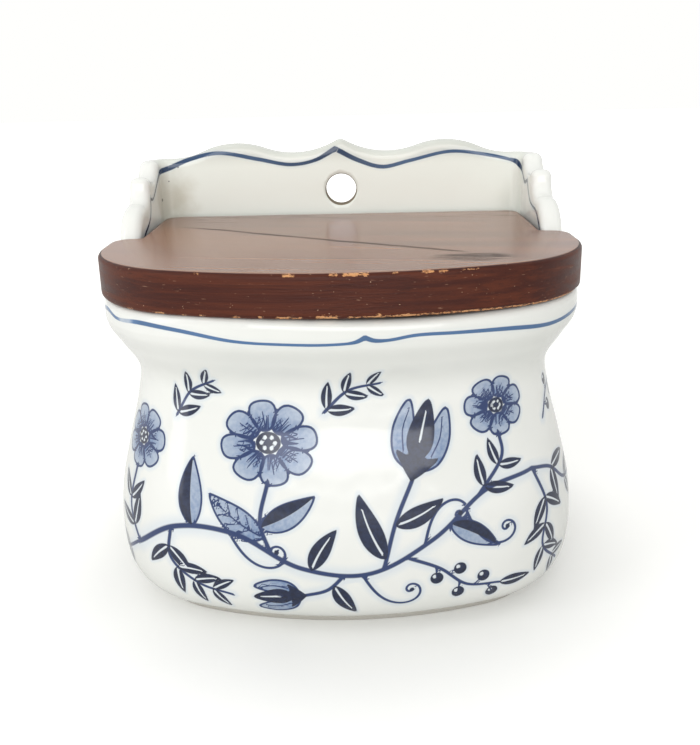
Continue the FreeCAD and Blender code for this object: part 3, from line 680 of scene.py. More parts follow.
def daisy(painting, place, radius, petals, angle):
    """An open flower seen a little from the side: round petals with veins round a dotted eye."""
    squeeze = radius * np.array([1.0, FLOWER_SQUASH])
    share = np.linspace(0, TAU, 25)[:-1]
    half = math.pi / petals
    out = 0.64 + 0.36 * np.cos(share) + 0.07 * np.cos(share) * np.sin(share) ** 2
    across = 0.62 * math.tan(half) * np.sin(share) * (1.05 + 0.3 * np.cos(share))
    for k in range(petals):
        heading = math.radians(angle) + k * TAU / petals
        way, beside = toward(heading), toward(heading + math.pi / 2)
        petal = place + squeeze * (np.outer(out, way) + np.outer(across, beside))
        painting.tint(petal, place + 0.25 * squeeze * way, place + squeeze * way, 1.0, 0.3)
        painting.outline(petal, OUTLINE)
        for lean, reach in ((-0.416, 0.62), (0.0, 0.72), (0.416, 0.62)):
            vein = np.outer(np.linspace(0.3, reach, 6), toward(heading + lean * half))
            painting.stroke(place + squeeze * vein, VEIN, VEIN_TIP)
    painting.fill(place + 0.26 * squeeze * toward(share))
    for k in range(6):
        painting.dot(place + 0.14 * squeeze * toward(k * TAU / 6), 0.09 * radius)


def tulip(painting, place, angle, size):
    """A cup of three petals on a dark calyx, opening along its heading."""

    def part(points, side=1, spacing=0.06):
        return moved(smooth_curve([(x, side * y) for x, y in points], spacing), place, angle, size)

    root, tip = moved([(0, 0), (1.1, 0)], place, angle, size)
    for side in (1, -1):
        petal = part(TULIP_PETAL, side)
        painting.tint(petal, root, tip, 1.0, 0.35)
        painting.outline(petal, OUTLINE)
        painting.stroke(part(TULIP_VEIN, side, 0.1), 0.45, VEIN_TIP)
    painting.fill(part(TULIP_MIDDLE))
    painting.spare(moved([(0.5, 0.0), (0.92, 0.0)], place, angle, size), 0.65, 0.4)
    painting.fill(part(TULIP_FOOT))


def berries(painting, path, shares, size):
    """Round berries on short stalks to both sides of a stem, each with a white glint."""
    circle = np.linspace(0, TAU, 17)[:-1]
    for k, share in enumerate(shares):
        place, heading = at(path, share)
        middle = place + size * toward(math.radians(heading + (55 if k % 2 else -55)))
        painting.stroke(np.linspace(place, middle, 4), VEIN, VEIN)
        painting.fill(middle + size / 2 * toward(circle))
        painting.dot(middle + 0.16 * size * np.array([-1.0, 1.0]), 0.34 * size)


def curl(painting, place, angle, size, turns):
    """A tendril that winds up at its end, to the left for positive turns."""
    share = np.linspace(0, 1, 60)
    heading = math.radians(angle) + turns * TAU * share**1.9
    speed = size * (1 - 0.86 * share)
    steps = toward(heading) * speed[:, None] / 14
    path = np.array(place) + np.vstack([np.zeros(2), np.cumsum(steps, axis=0)])
    painting.stroke(path, 0.9, 0.65)
    painting.fill(path[-1] + 0.75 * toward(share[::6] * TAU))


BRANCH = ((-62, 24), (-48, 33), (-30, 33), (-12, 24), (6, 22), (24, 31), (40, 43), (56, 46))


def paint_front(painting):
    """A waving branch across the front with flowers, buds and berries, and a spray on each side."""
    branch = stem(painting, BRANCH, 1.6, 1.2)

    def on(share):
        return at(branch, share)[0]

    # Leafy stems: knots, widths at both ends, where the leaves sit, and their length, width and spread
    for knots, widths, shares, length, width, spread in (
        ([on(0.12), (-50, 23), (-42, 16), (-32, 13.5)], (1.1, 0.8), (0.22, 0.42, 0.62, 0.82), 11.0, 4.2, 50),
        ([on(0.86), (46, 52), (45.5, 58)], (1.1, 1.1), (0.2, 0.55), 10.0, 3.8, 62),
        ([branch[0], (-67, 34), (-66, 46)], (1.2, 1.2), (0.25, 0.6), 12.0, 4.5, 50),
        ([branch[0], (-72, 18), (-84, 18), (-95, 27)], (1.1, 0.8), (0.25, 0.45, 0.65, 0.85), 11.0, 4.2, 52),
        ([branch[-1], (64, 44), (72, 38), (82, 37)], (1.1, 1.1), (0.35, 0.68), 12.0, 4.5, 54),
        ([branch[-1], (60, 34), (58, 22), (66, 14)], (1.1, 0.8), (0.3, 0.5, 0.7, 0.9), 11.0, 4.2, 52),
        ([(-50, 64), (-45, 71), (-37, 75)], (1.0, 0.7), (0.1, 0.45, 0.8), 8.5, 3.3, 50),
        ([(-5, 67), (2, 73), (11, 75)], (1.0, 0.7), (0.1, 0.45, 0.8), 8.5, 3.3, 50),
    ):
        leafy(painting, stem(painting, knots, *widths), shares, length, width, spread)
    # Single leaves on other stems and on the branch: where, angle, length, width, bend and kind
    rise = stem(painting, [on(0.36), (-23, 37), (-21, 48)], 1.2, 1.2)
    tall = stem(painting, [on(0.60), (14, 37), (19, 48)], 1.2, 1.2)
    bud = stem(painting, [on(0.52), (-5, 17), (-11.5, 15)], 1.1, 1.1)
    fruit = stem(painting, [on(0.66), (26, 22), (34, 15.5), (44, 14)], 1.1, 0.8)
    for place, angle, length, width, bend, kind in (
        (at(rise, 0.25)[0], 158, 19, 7.6, -0.22, "veined"),
        (at(rise, 0.40)[0], 20, 17, 6.8, 0.2, "half"),
        (at(tall, 0.15)[0], 122, 20, 6.6, -0.2, "solid"),
        (at(tall, 0.5)[0], 12, 15, 5.6, 0.22, "solid"),
        (at(bud, 0.35)[0], 292, 12, 4.6, 0.15, "solid"),
        (fruit[-1], -4, 10, 3.8, 0.1, "solid"),
        (on(0.17), 100, 19, 7.0, -0.15, "half"),
        (on(0.45), 72, 14, 5.2, -0.22, "solid"),
        (on(0.77), -24, 16, 6.0, -0.12, "half"),
    ):
        leaf(painting, place, angle, length, width, bend, kind)
    # Open flowers, tulips, berries and tendrils
    for place, radius, petals, angle in (
        ((-21.0, 58.5), 14.0, 8, 10), ((45.5, 65.5), 10.0, 7, 20), ((-65.0, 55.0), 11.0, 7, 5),
    ):
        daisy(painting, np.array(place), radius, petals, angle)
    for place, angle, size in (((19.3, 49.5), 74, 18.5), ((-12.0, 15.0), 186, 12.5), ((83.0, 37.0), 2, 14.5)):
        tulip(painting, np.array(place), angle, size)
    berries(painting, fruit, (0.30, 0.45, 0.6, 0.75, 0.9), 3.8)
    twig = stem(painting, [(66, 58), (74, 65), (86, 66)], 1.0, 0.8)
    berries(painting, twig, (0.2, 0.4, 0.6, 0.8, 0.97), 3.6)
    for share, angle, size, turns in (
        (0.26, -60, 13, 1.5), (0.56, -62, 13, 1.4), (0.82, -70, 13, 1.5), (0.70, 78, 12, -1.5),
    ):
        curl(painting, on(share), angle, size, turns)


def lid_outline():
    """The lid's right half from above, from the middle of the front to that of the rear, and its normals."""

    def run(start, end, inward, spacing):
        count = max(2, round(math.dist(start, end) / spacing) + 1)
        return np.linspace(start, end, count), np.tile(inward, (count, 1))

    ear_x, ear_y = HALF_LID - EAR_RADIUS, EAR_REAR - EAR_RADIUS
    notch_x, notch_y = HALF_TONGUE + NOTCH_RADIUS, EAR_REAR + NOTCH_RADIUS
    tongue_x, tongue_y = HALF_TONGUE - TONGUE_CORNER, LID_REAR - TONGUE_CORNER
    return join([
        turn((0.0, FRONT_CENTRE), FRONT_RADIUS, DOWN, DOWN + MEETING, 0.5),
        turn((CORNER_X, CORNER_Y), CORNER_RADIUS, DOWN + MEETING, TAU, 0.5),
        run((HALF_LID, CORNER_Y), (HALF_LID, ear_y), (-1.0, 0.0), 1.0),
        turn((ear_x, ear_y), EAR_RADIUS, 0, math.pi / 2, 0.6),
        run((ear_x, EAR_REAR), (notch_x, EAR_REAR), (0.0, -1.0), 0.8),
        turn((notch_x, notch_y), NOTCH_RADIUS, DOWN, math.pi, 0.3, hollow=True),
        run((HALF_TONGUE, notch_y), (HALF_TONGUE, tongue_y), (-1.0, 0.0), 1.5),
        turn((tongue_x, tongue_y), TONGUE_CORNER, 0, math.pi / 2, 0.8),
        run((tongue_x, LID_REAR), (0.0, LID_REAR), (0.0, -1.0), 1.5),
    ])


def lid_rows():
    """Rows of the lid's right half, from the underside round the edge to the top."""
    points, inward = lid_outline()
    turns = np.linspace(0, math.pi / 2, 7)
    rows = [(inset, RIM) for inset in (4.0, 2.5)]
    rows += [(LID_ROUND * (1 - math.sin(t)), RIM + LID_ROUND * (1 - math.cos(t))) for t in turns]
    rows += [(0.0, height) for height in np.linspace(RIM + LID_ROUND, LID_TOP - LID_ROUND, 17)[1:-1]]
    rows += [(LID_ROUND * (1 - math.cos(t)), LID_TOP - LID_ROUND * (1 - math.sin(t))) for t in turns]
    rows += [(inset, LID_TOP) for inset in (2.0, 3.0)]
    return np.array([lifted(points + inset * inward, height) for inset, height in rows])


# Worn stretches of the lid's front edges: from and to along X, how deep as a share, and how far up they reach
UPPER_WEAR = (
    (-36.9, -35.6, 0.8, 0.45), (-13.9, -10.8, 0.95, 0.5), (-2.2, 0.0, 0.9, 0.45), (1.2, 8.0, 1.0, 0.55),
    (13.8, 15.2, 0.6, 0.4), (21.2, 24.2, 0.8, 0.5), (25.4, 28.0, 0.75, 0.45), (31.4, 35.8, 0.5, 0.4),
)
LOWER_WEAR = (
    (-57.2, -55.4, 0.7, 0.6), (-48.6, -45.9, 0.85, 0.6), (-41.0, -39.6, 0.6, 0.5), (-36.2, -34.6, 0.7, 0.6),
    (-27.3, -25.3, 0.7, 0.6), (-20.8, -19.4, 0.85, 0.7), (-15.9, -9.1, 0.85, 0.65), (-5.7, -0.3, 0.95, 1.1),
    (2.0, 13.7, 0.7, 0.55), (9.2, 10.9, 0.95, 1.2), (13.2, 40.0, 0.8, 0.6), (17.3, 18.5, 0.85, 0.8),
    (38.0, 67.0, 0.75, 0.55),
)
WEAR_HEIGHTS = ((UPPER_WEAR, LID_TOP - 0.35), (LOWER_WEAR, RIM + 0.45))
WEAR_FADE = 0.5
WEAR_DEPTH = 0.3
# Upward or downward share of the wear's way in, which would else be nearly level
CENTRE_PULL = 18.0


def worn(points):
    """How worn the lid is at each point, from 0 to 1."""
    share = np.zeros(len(points))
    for stretches, height in WEAR_HEIGHTS:
        for start, end, depth, rise in stretches:
            inside = np.minimum(points[:, 0] - start, end - points[:, 0])
            along = np.clip(inside / WEAR_FADE + 0.5, 0, 1)
            near = np.clip(1 - np.abs(points[:, 2] - height) / rise, 0, 1)
            share = np.maximum(share, depth * near * along * (points[:, 1] < 0))
    return share


class Tree:
    """Short ways to add and join nodes."""

    def __init__(self, nodes):
        self.tree = nodes

    def put(self, socket, value):
        if isinstance(value, bpy.types.NodeSocket):
            self.tree.links.new(value, socket)
        elif isinstance(value, tuple) and len(value) == 3 and socket.type == "RGBA":
            socket.default_value = (*value, 1.0)
        else:
            socket.default_value = value

    def add(self, kind, *values, **settings):
        """A node with its settings, and values or links for its first sockets."""
        node = self.tree.nodes.new(kind)
        for name, value in settings.items():
            setattr(node, name, value)
        for socket, value in zip(node.inputs, values):
            self.put(socket, value)
        return node

    def named(self, kind, **sockets):
        """The first output of a node, with values or links for its sockets by their names."""
        node = self.add(kind)
        for name, value in sockets.items():
            self.put(node.inputs[name], value)
        return node.outputs[0]

    def math(self, operation, *values):
        return self.add("ShaderNodeMath", *values, operation=operation).outputs[0]

    def product(self, first, *others):
        for value in others:
            first = self.math("MULTIPLY", first, value)
        return first

    def most(self, first, *others):
        """The highest of some values."""
        for value in others:
            first = self.math("MAXIMUM", first, value)
        return first

    def size(self, value):
        """A value without its sign."""
        return self.math("ABSOLUTE", value)

    def vector(self, operation, *values):
        node = self.add("ShaderNodeVectorMath", *values, operation=operation)
        single = operation in ("LENGTH", "DISTANCE", "DOT_PRODUCT")
        return node.outputs["Value" if single else "Vector"]

    def fade(self, value, low, high, start=0.0, end=1.0):
        """A smooth step from start to end as the value goes from low to high."""
        values = (value, low, high, start, end)
        return self.add("ShaderNodeMapRange", *values, interpolation_type="SMOOTHSTEP").outputs[0]

    def seen(self):
        """Whether a ray is the camera's own, and whether it is that or a glossy or transmitted one."""
        rays = self.add("ShaderNodeLightPath").outputs
        camera = rays["Is Camera Ray"]
        return camera, self.most(camera, rays["Is Glossy Ray"], rays["Is Transmission Ray"])


class Surface(Tree):
    """The nodes of one material."""

    def __init__(self, name):
        self.material = bpy.data.materials.new(name)
        self.material.use_nodes = True
        super().__init__(self.material.node_tree)
        self.shader = self.tree.nodes["Principled BSDF"]
        coordinates = self.add("ShaderNodeTexCoord").outputs["Object"]
        self.place = self.vector("MULTIPLY", coordinates, (1 / MM,) * 3)
        self.x, self.y, self.z = self.add("ShaderNodeSeparateXYZ", self.place).outputs

    def set(self, **sockets):
        """Values or links for the sockets of the surface, by their names with _ for each space."""
        for name, value in sockets.items():
            self.put(self.shader.inputs[name.replace("_", " ")], value)

    def stretched(self, factors, offset=(0.0, 0.0, 0.0), place=None):
        """The place in millimetres, scaled by one factor or three and moved, for a texture."""
        factors = (factors,) * 3 if isinstance(factors, float) else factors
        return self.vector("MULTIPLY_ADD", place or self.place, factors, offset)

    def noise(self, where, detail=2.0, roughness=0.5, distortion=0.0):
        shape = {"Detail": detail, "Roughness": roughness, "Distortion": distortion}
        return self.named("ShaderNodeTexNoise", Vector=where, Scale=1.0, **shape)

    def mix(self, share, first, second):
        node = self.add("ShaderNodeMix", data_type="RGBA")
        for index, value in ((0, share), (6, first), (7, second)):
            self.put(node.inputs[index], value)
        return node.outputs[2]

    def painted(self, name):
        """A number kept at each point of the mesh."""
        return self.add("ShaderNodeAttribute", attribute_name=name).outputs["Fac"]

    def bump(self, height, distance, strength):
        return self.named("ShaderNodeBump", Height=height, Distance=distance, Strength=strength)


def keep_numbers(piece, name, numbers):
    """Keeps one number for each point of a piece's mesh."""
    layer = piece.data.attributes.new(name, "FLOAT", "POINT")
    layer.data.foreach_set("value", np.asarray(numbers, dtype=np.float32))


def read_points(piece, what):
    """The places or the normals of the points of a piece's mesh."""
    numbers = np.empty(3 * len(piece.data.vertices))
    piece.data.vertices.foreach_get(what, numbers)
    return numbers.reshape(-1, 3)


# Painted border, as places along the unrolled wall and heights: below the rim, and along the wings and
# the crest. Two curves meet in each cusp.
RIM_LINES = [smooth_curve(knots, 1.0) for knots in (
    [
        (-160.0, 90.0), (-130.0, 90.4), (-100.0, 89.6), (-84.0, 90.6), (-71.0, 92.6), (-64.0, 91.4),
        (-54.0, 92.0), (-42.0, 91.0), (-27.0, 88.9), (-15.0, 88.4), (-2.5, 88.3), (4.0, 88.9), (6.4, 90.1),
    ],
    [
        (6.4, 90.1), (8.6, 89.2), (12.0, 89.1), (19.5, 90.1), (30.0, 90.0), (45.5, 89.6), (58.0, 88.8),
        (71.0, 89.6), (84.0, 90.6), (100.0, 89.6), (130.0, 90.4), (160.0, 90.0),
    ],
)]
BACK_LINES = [smooth_curve(knots, 1.0) for knots in (
    [
        (-103.0, 98.0), (-98.5, 103.5), (-94.0, 106.2), (-91.0, 107.2), (-87.5, 108.5), (-84.6, 110.3),
        (-83.0, 113.0), (-82.4, 116.0),
    ],
    [
        (-82.4, 116.0), (-79.5, 115.1), (-76.4, 116.0), (-69.2, 120.2), (-65.0, 122.3), (-60.5, 123.4),
        (-53.0, 126.3), (-42.5, 128.3), (-29.0, 126.0), (-17.5, 123.9), (-9.0, 125.2), (-1.8, 129.0),
    ],
    [
        (-1.8, 129.0), (6.0, 125.0), (14.5, 122.5), (24.0, 124.4), (38.5, 127.3), (51.0, 125.9),
        (58.0, 124.4), (61.5, 123.3), (64.5, 121.0), (70.4, 117.4), (72.8, 117.7), (75.2, 118.7),
    ],
    [
        (75.2, 118.7), (76.8, 116.2), (80.8, 112.6), (85.1, 111.4), (91.2, 110.7), (95.0, 108.9),
        (98.9, 105.5), (101.5, 98.0),
    ],
)]
# Widths along the border's lines, as places and widths
RIM_WIDTHS = (
    (-100, 0.8), (-72, 0.95), (-64, 0.7), (-54, 0.95), (-40, 0.8), (-20, 0.6), (2, 0.6), (6.4, 1.0),
    (12, 0.65), (30, 0.7), (48, 0.9), (100, 0.8),
)
BACK_WIDTHS = (
    (-100, 0.9), (-80, 0.6), (-70, 0.75), (-63, 1.35), (-54, 1.05), (-44, 0.95), (-30, 1.0), (-10, 0.85),
    (-1.8, 1.3), (10, 1.05), (30, 0.85), (48, 0.85), (59, 0.8), (62, 1.4), (66, 0.9), (80, 0.6), (92, 0.7),
    (100, 0.9),
)
# Strength of the blue along the border's lines, as places and shares
RIM_TONES = (
    (-100, 0.4), (-66, 0.4), (-62, 0.08), (-58, 0.1), (-54, 0.45), (-30, 0.3), (0, 0.3), (6.4, 0.5),
    (20, 0.35), (45, 0.45), (100, 0.4),
)
BACK_TONES = (
    (-100, 0.95), (-66, 1.0), (-46, 0.8), (-30, 0.75), (-8, 1.0), (2, 1.0), (20, 0.7), (40, 0.75), (58, 0.7),
    (62, 1.0), (100, 0.95),
)
BORDER_LOW = 84.0
BORDER_FAR = 5.0
# Inset of the level on which the front is unrolled, and how far along it the flowers reach
LEVEL_INSET = 3.0
FLOWER_REACH = 104.0
# A point of the hanging back or of a wing looks inward where its normal along Y or X is below this
FACING = -0.25
# A place in the middle of the pot, seen from above, from which its outside looks away
POT_MIDDLE = np.array([0.0, CORNER_Y + 20.0])


def unrolled(points, along):
    """Places along a level to the left and right of the middle, with the heights of the points."""
    return np.stack([np.where(points[:, 0] < 0, -along, along), points[:, 2]], axis=1)


def front_place(points):
    """Where points of the outside lie on the front unrolled: along the level, and the height."""
    x, y = np.abs(points[:, 0]), points[:, 1]
    bow_radius, bend_radius = FRONT_RADIUS - LEVEL_INSET, CORNER_RADIUS - LEVEL_INSET
    bow = np.arctan2(x, FRONT_CENTRE - y)
    bend = np.clip(np.arctan2(x - CORNER_X, CORNER_Y - y), MEETING, math.pi / 2)
    bow_end = bow_radius * MEETING
    bend_end = bow_end + bend_radius * (math.pi / 2 - MEETING)
    along = np.where(bow < MEETING, bow_radius * bow, bow_end + bend_radius * (bend - MEETING))
    return unrolled(points, np.where(y > CORNER_Y, bend_end + y - CORNER_Y, along))


def inner_place(points):
    """Where points of the hanging back and the wings lie unrolled: along the inside, and the height."""
    x, y = np.abs(points[:, 0]), points[:, 1]
    flat, side = WING_FACE - INNER_TURN, PLATE_FACE - INNER_TURN
    bend = flat + INNER_TURN * np.arctan2(x - flat, y - side)
    beside = flat + INNER_TURN * math.pi / 2 + side - y
    return unrolled(points, np.where(y < side, beside, np.where(x > flat, bend, x)))


def draw_border(border, rows, places, paths, widths, tones):
    """A border line along several paths: signed distances in half widths, plain distances and strengths."""
    best, signed = np.full(len(rows), np.inf), np.zeros(len(rows))
    for path in paths:
        distance, side, _ = measure(places, path)
        nearer = distance < best
        signed[nearer] = (side * distance)[nearer]
        best[nearer] = distance[nearer]
    border["border"][rows] = signed / (np.interp(places[:, 0], *zip(*widths)) / 2)
    border["border_far"][rows] = np.minimum(best, BORDER_FAR)
    border["border_tone"][rows] = np.interp(places[:, 0], *zip(*tones))


def decorate(pot):
    """Keeps the painting and the border lines with the points of the pot."""
    points, normals = read_points(pot, "co") / MM, read_points(pot, "normal")
    x, y, z = points.T
    plan = front_place(points)
    outside = ((points[:, :2] - POT_MIDDLE) * normals[:, :2]).sum(axis=1) > 0
    outside &= (z < RIM - 0.3) & (z > FOOT_HEIGHT - 0.2)
    painted = np.flatnonzero(outside & (np.abs(plan[:, 0]) < FLOWER_REACH))
    painting = Painting(plan[painted])
    paint_front(painting)
    for name in Painting.FIELDS:
        numbers = np.full(len(points), Painting.empty(name))
        numbers[painted] = getattr(painting, name)
        keep_numbers(pot, "paint_" + name, numbers)
    starts = {"border": BORDER_FAR, "border_far": BORDER_FAR, "border_tone": 0.0}
    border = {name: np.full(len(points), start) for name, start in starts.items()}
    rows = np.flatnonzero(outside & (z > BORDER_LOW) & (y < BACK - BACK_TURN))
    draw_border(border, rows, plan[rows], RIM_LINES, RIM_WIDTHS, RIM_TONES)
    facing = (normals[:, 1] < FACING) | (normals[:, 0] * np.sign(x) < FACING)
    upper = (z > RIM - 2) & (y > WING_FRONT - 2) & (y < PLATE_FACE + EDGE_ROUND)
    rows = np.flatnonzero(facing & upper & (np.abs(x) < WING_FACE + EDGE_ROUND))
    draw_border(border, rows, inner_place(points[rows]), BACK_LINES, BACK_WIDTHS, BACK_TONES)
    for name, numbers in border.items():
        keep_numbers(pot, name, numbers)


decorate(pot)

rows = whole_loop(lid_rows())
wear = worn(rows.reshape(-1, 3)).reshape(rows.shape[:2])
wear[:2], wear[-2:] = 0.0, 0.0
inward = np.array([0.0, FRONT_CENTRE, (RIM + LID_TOP) / 2]) - rows
inward[..., 2] *= CENTRE_PULL
inward /= np.linalg.norm(inward, axis=2)[..., None]
lid = loop_mesh("lid_wood", rows + WEAR_DEPTH * wear[..., None] * inward)
keep_numbers(lid, "worn", wear.ravel())
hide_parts("lid_board")
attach(lid, "lid")

# Colours of the glaze: plain in two shades, then a warm tint brightened as painted light on the hanging back,
# painted shade on its crest and painted light on the wings
GLAZE_DULL, GLAZE_CLEAR = (0.80, 0.81, 0.775), (0.83, 0.835, 0.805)
GLAZE_PLATE_TINT_AND_PAINTED_LIGHT, GLAZE_CREST_PAINTED_SHADE, GLAZE_WING_PAINTED_LIGHT = (0.885, 0.915, 0.845), (0.68, 0.695, 0.64), (0.91, 0.92, 0.88)
# The stain in the left corner of the hanging back, and specks in the glaze with their sizes
STAIN_PLACE = (-60.0, 46.0, 112.0)
STAIN_SCALE = (0.085, 0.085, 0.062)
STAIN_BROWN, SPECK_GREY = (0.46, 0.39, 0.25), (0.10, 0.10, 0.10)
SPECKS = (((-62.8, 45.4, 112.9), 0.7), ((-57.0, 48.4, 123.9), 0.5), ((-60.5, 48.0, 119.0), 0.35))
# Bare clay in the hanging hole and under the foot
BORE_DARK, BORE_LIGHT = (0.10, 0.075, 0.04), (0.26, 0.19, 0.10)
CLAY_DARK, CLAY_LIGHT = (0.44, 0.42, 0.38), (0.56, 0.54, 0.49)
# Blues of the painting and of the border
HALO_BLUE, WASH_BLUE, PEN_BLUE = (0.42, 0.55, 0.72), (0.075, 0.16, 0.35), (0.012, 0.033, 0.125)
INK_DARK, INK_LIGHT = (0.006, 0.011, 0.036), (0.011, 0.021, 0.065)
BORDER_HALO, BORDER_PALE, BORDER_DEEP = (0.42, 0.54, 0.68), (0.10, 0.22, 0.44), (0.003, 0.028, 0.090)


def glaze_white(tree, cloud, inner, uneven):
    """White glaze: warmer, with painted light, on the hanging back, painted shade on its crest, painted light
    on the wings, with stains.
    """
    white = tree.mix(tree.fade(cloud, 0.3, 0.7), GLAZE_DULL, GLAZE_CLEAR)
    high = tree.fade(tree.z, RIM, RIM + 8.0)
    behind = tree.fade(tree.y, WING_CORNER - 1.0, WING_CORNER + 2.0)
    # Painted light on the hanging back, over its warm tint
    white = tree.mix(tree.product(high, behind, inner), white, GLAZE_PLATE_TINT_AND_PAINTED_LIGHT)
    # Painted shade on the crest
    white = tree.mix(tree.fade(tree.z, CREST - 9.0, CREST - 3.0, 0.0, 0.8), white, GLAZE_CREST_PAINTED_SHADE)
    # Painted light on the wings
    white = tree.mix(tree.product(high, tree.math("SUBTRACT", 1.0, behind)), white, GLAZE_WING_PAINTED_LIGHT)
    shift = tuple(-scale * place for scale, place in zip(STAIN_SCALE, STAIN_PLACE))
    spread = tree.vector("LENGTH", tree.stretched(STAIN_SCALE, shift))
    stain = tree.fade(tree.math("MULTIPLY_ADD", uneven, 0.9, spread), 1.45, 0.55, 0.0, 0.42)
    white = tree.mix(tree.product(stain, inner), white, STAIN_BROWN)
    for place, size in SPECKS:
        off = tree.vector("DISTANCE", tree.place, place)
        white = tree.mix(tree.fade(off, size, 0.55 * size, 0.0, 0.85), white, SPECK_GREY)
    return white


def painted_glaze(tree, white, mottle):
    """The glaze's white with the flowers and the border lines, each with a soft halo."""
    filled, wash = tree.painted("paint_solid"), tree.painted("paint_wash")
    pen, rib = (
        tree.most(tree.size(tree.painted(name)), tree.painted(name + "_reach"))
        for name in ("paint_line", "paint_rib")
    )
    near = tree.math("MINIMUM", tree.math("MINIMUM", filled, wash), tree.math("SUBTRACT", pen, Painting.PEN))
    paint = tree.mix(tree.fade(near, 1.3, -0.1, 0.0, 0.34), white, HALO_BLUE)
    strength = tree.math("MULTIPLY_ADD", tree.painted("paint_tone"), 0.7, 0.22)
    washed = tree.product(tree.fade(wash, 0.14, -0.14), strength, tree.fade(mottle, 0.2, 0.8, 0.8, 1.15))
    paint = tree.mix(washed, paint, WASH_BLUE)
    paint = tree.mix(tree.product(tree.fade(pen, 0.33, 0.17), 0.985), paint, PEN_BLUE)
    # Border lines
    tone, far = tree.painted("border_tone"), tree.painted("border_far")
    paint = tree.mix(tree.product(tree.fade(far, 1.9, 0.3, 0.0, 0.34), tone), paint, BORDER_HALO)
    edge = tree.product(
        tree.fade(tree.size(tree.painted("border")), 1.6, 1.1),
        tree.fade(far, 1.35, 0.95),
        tree.fade(tree.math("MULTIPLY_ADD", mottle, 0.12, tone), 0.02, 0.34, 0.3, 1.0),
    )
    paint = tree.mix(edge, paint, tree.mix(tone, BORDER_PALE, BORDER_DEEP))
    # Dark blue shapes, without their white ribs and spots
    solid = tree.most(filled, tree.product(tree.painted("paint_spot"), -1.0))
    inked = tree.product(tree.fade(solid, 0.12, -0.12), tree.fade(rib, 0.17, 0.33))
    return tree.mix(inked, paint, tree.mix(tree.fade(mottle, 0.3, 0.7), INK_DARK, INK_LIGHT))


def glaze_material():
    """Clear glaze over white porcelain with blue painting, bare in the hanging hole and under the foot."""
    tree = Surface("glaze")
    cloud = tree.noise(tree.stretched(0.03), detail=3)
    uneven = tree.noise(tree.stretched(0.16, (4.0, 0.0, 0.0)), detail=3)
    inner = tree.product(
        tree.fade(tree.y, PLATE_FACE + 4.0, PLATE_FACE + 1.5),
        tree.fade(tree.size(tree.x), WING_FACE + 4.0, WING_FACE + 1.5),
    )
    around = tree.vector("LENGTH", tree.stretched((1.0, 0.0, 1.0), (0.0, 0.0, -HANG_HEIGHT)))
    bore = tree.fade(around, HANG_RADIUS + 0.35, HANG_RADIUS + 0.1)
    white = glaze_white(tree, cloud, inner, uneven)
    white = tree.mix(bore, white, tree.mix(uneven, BORE_DARK, BORE_LIGHT))
    paint = painted_glaze(tree, white, tree.noise(tree.stretched(0.9), detail=3))
    bare = tree.fade(tree.math("ADD", tree.z, tree.noise(tree.stretched(0.4))), 1.9, 2.5, 1.0, 0.0)
    clay = tree.mix(tree.noise(tree.stretched(3.0)), CLAY_DARK, CLAY_LIGHT)
    rough = tree.product(tree.most(bare, bore), 0.55)
    tree.set(
        Base_Color=tree.mix(bare, paint, clay),
        Roughness=tree.math("ADD", rough, tree.fade(cloud, 0.3, 0.7, 0.08, 0.12)),
        Normal=tree.bump(tree.noise(tree.stretched(0.12), detail=1), 0.0006, 0.25),
        IOR=1.52,
    )
    return tree.material


# The lid's grain and its line of figure, as slopes across the top, and where the dark patch lies
GRAIN_SLOPE = 0.15
FIGURE_SLOPE = 0.587
FIGURE_PLACE = -8.0
FIGURE_WANDER = 5.0
PATCH_PLACE, PATCH_SCALE = (36.0, -36.0), (0.085, 0.16)
# Height of one glue line in the lid's edge, and the step from one to the next
SEAM_HEIGHT, SEAM_STEP = 98.6, 4.1
# Colours of the wood: dark, light and its pores, on the top and on the edge
TOP_WOOD = (0.185, 0.063, 0.025), (0.285, 0.106, 0.042), (0.055, 0.018, 0.008)
EDGE_WOOD = (0.048, 0.0084, 0.0040), (0.094, 0.0210, 0.0085), (0.026, 0.006, 0.004)
BARE_LIGHT, BARE_DARK = (0.76, 0.40, 0.18), (0.60, 0.27, 0.11)
PLAIN_WOOD, FIGURE_WOOD = (0.345, 0.150, 0.068), (0.045, 0.016, 0.009)
SCRATCH, CHIP, SEAM = (0.36, 0.20, 0.13), (0.62, 0.40, 0.26), (0.018, 0.008, 0.006)


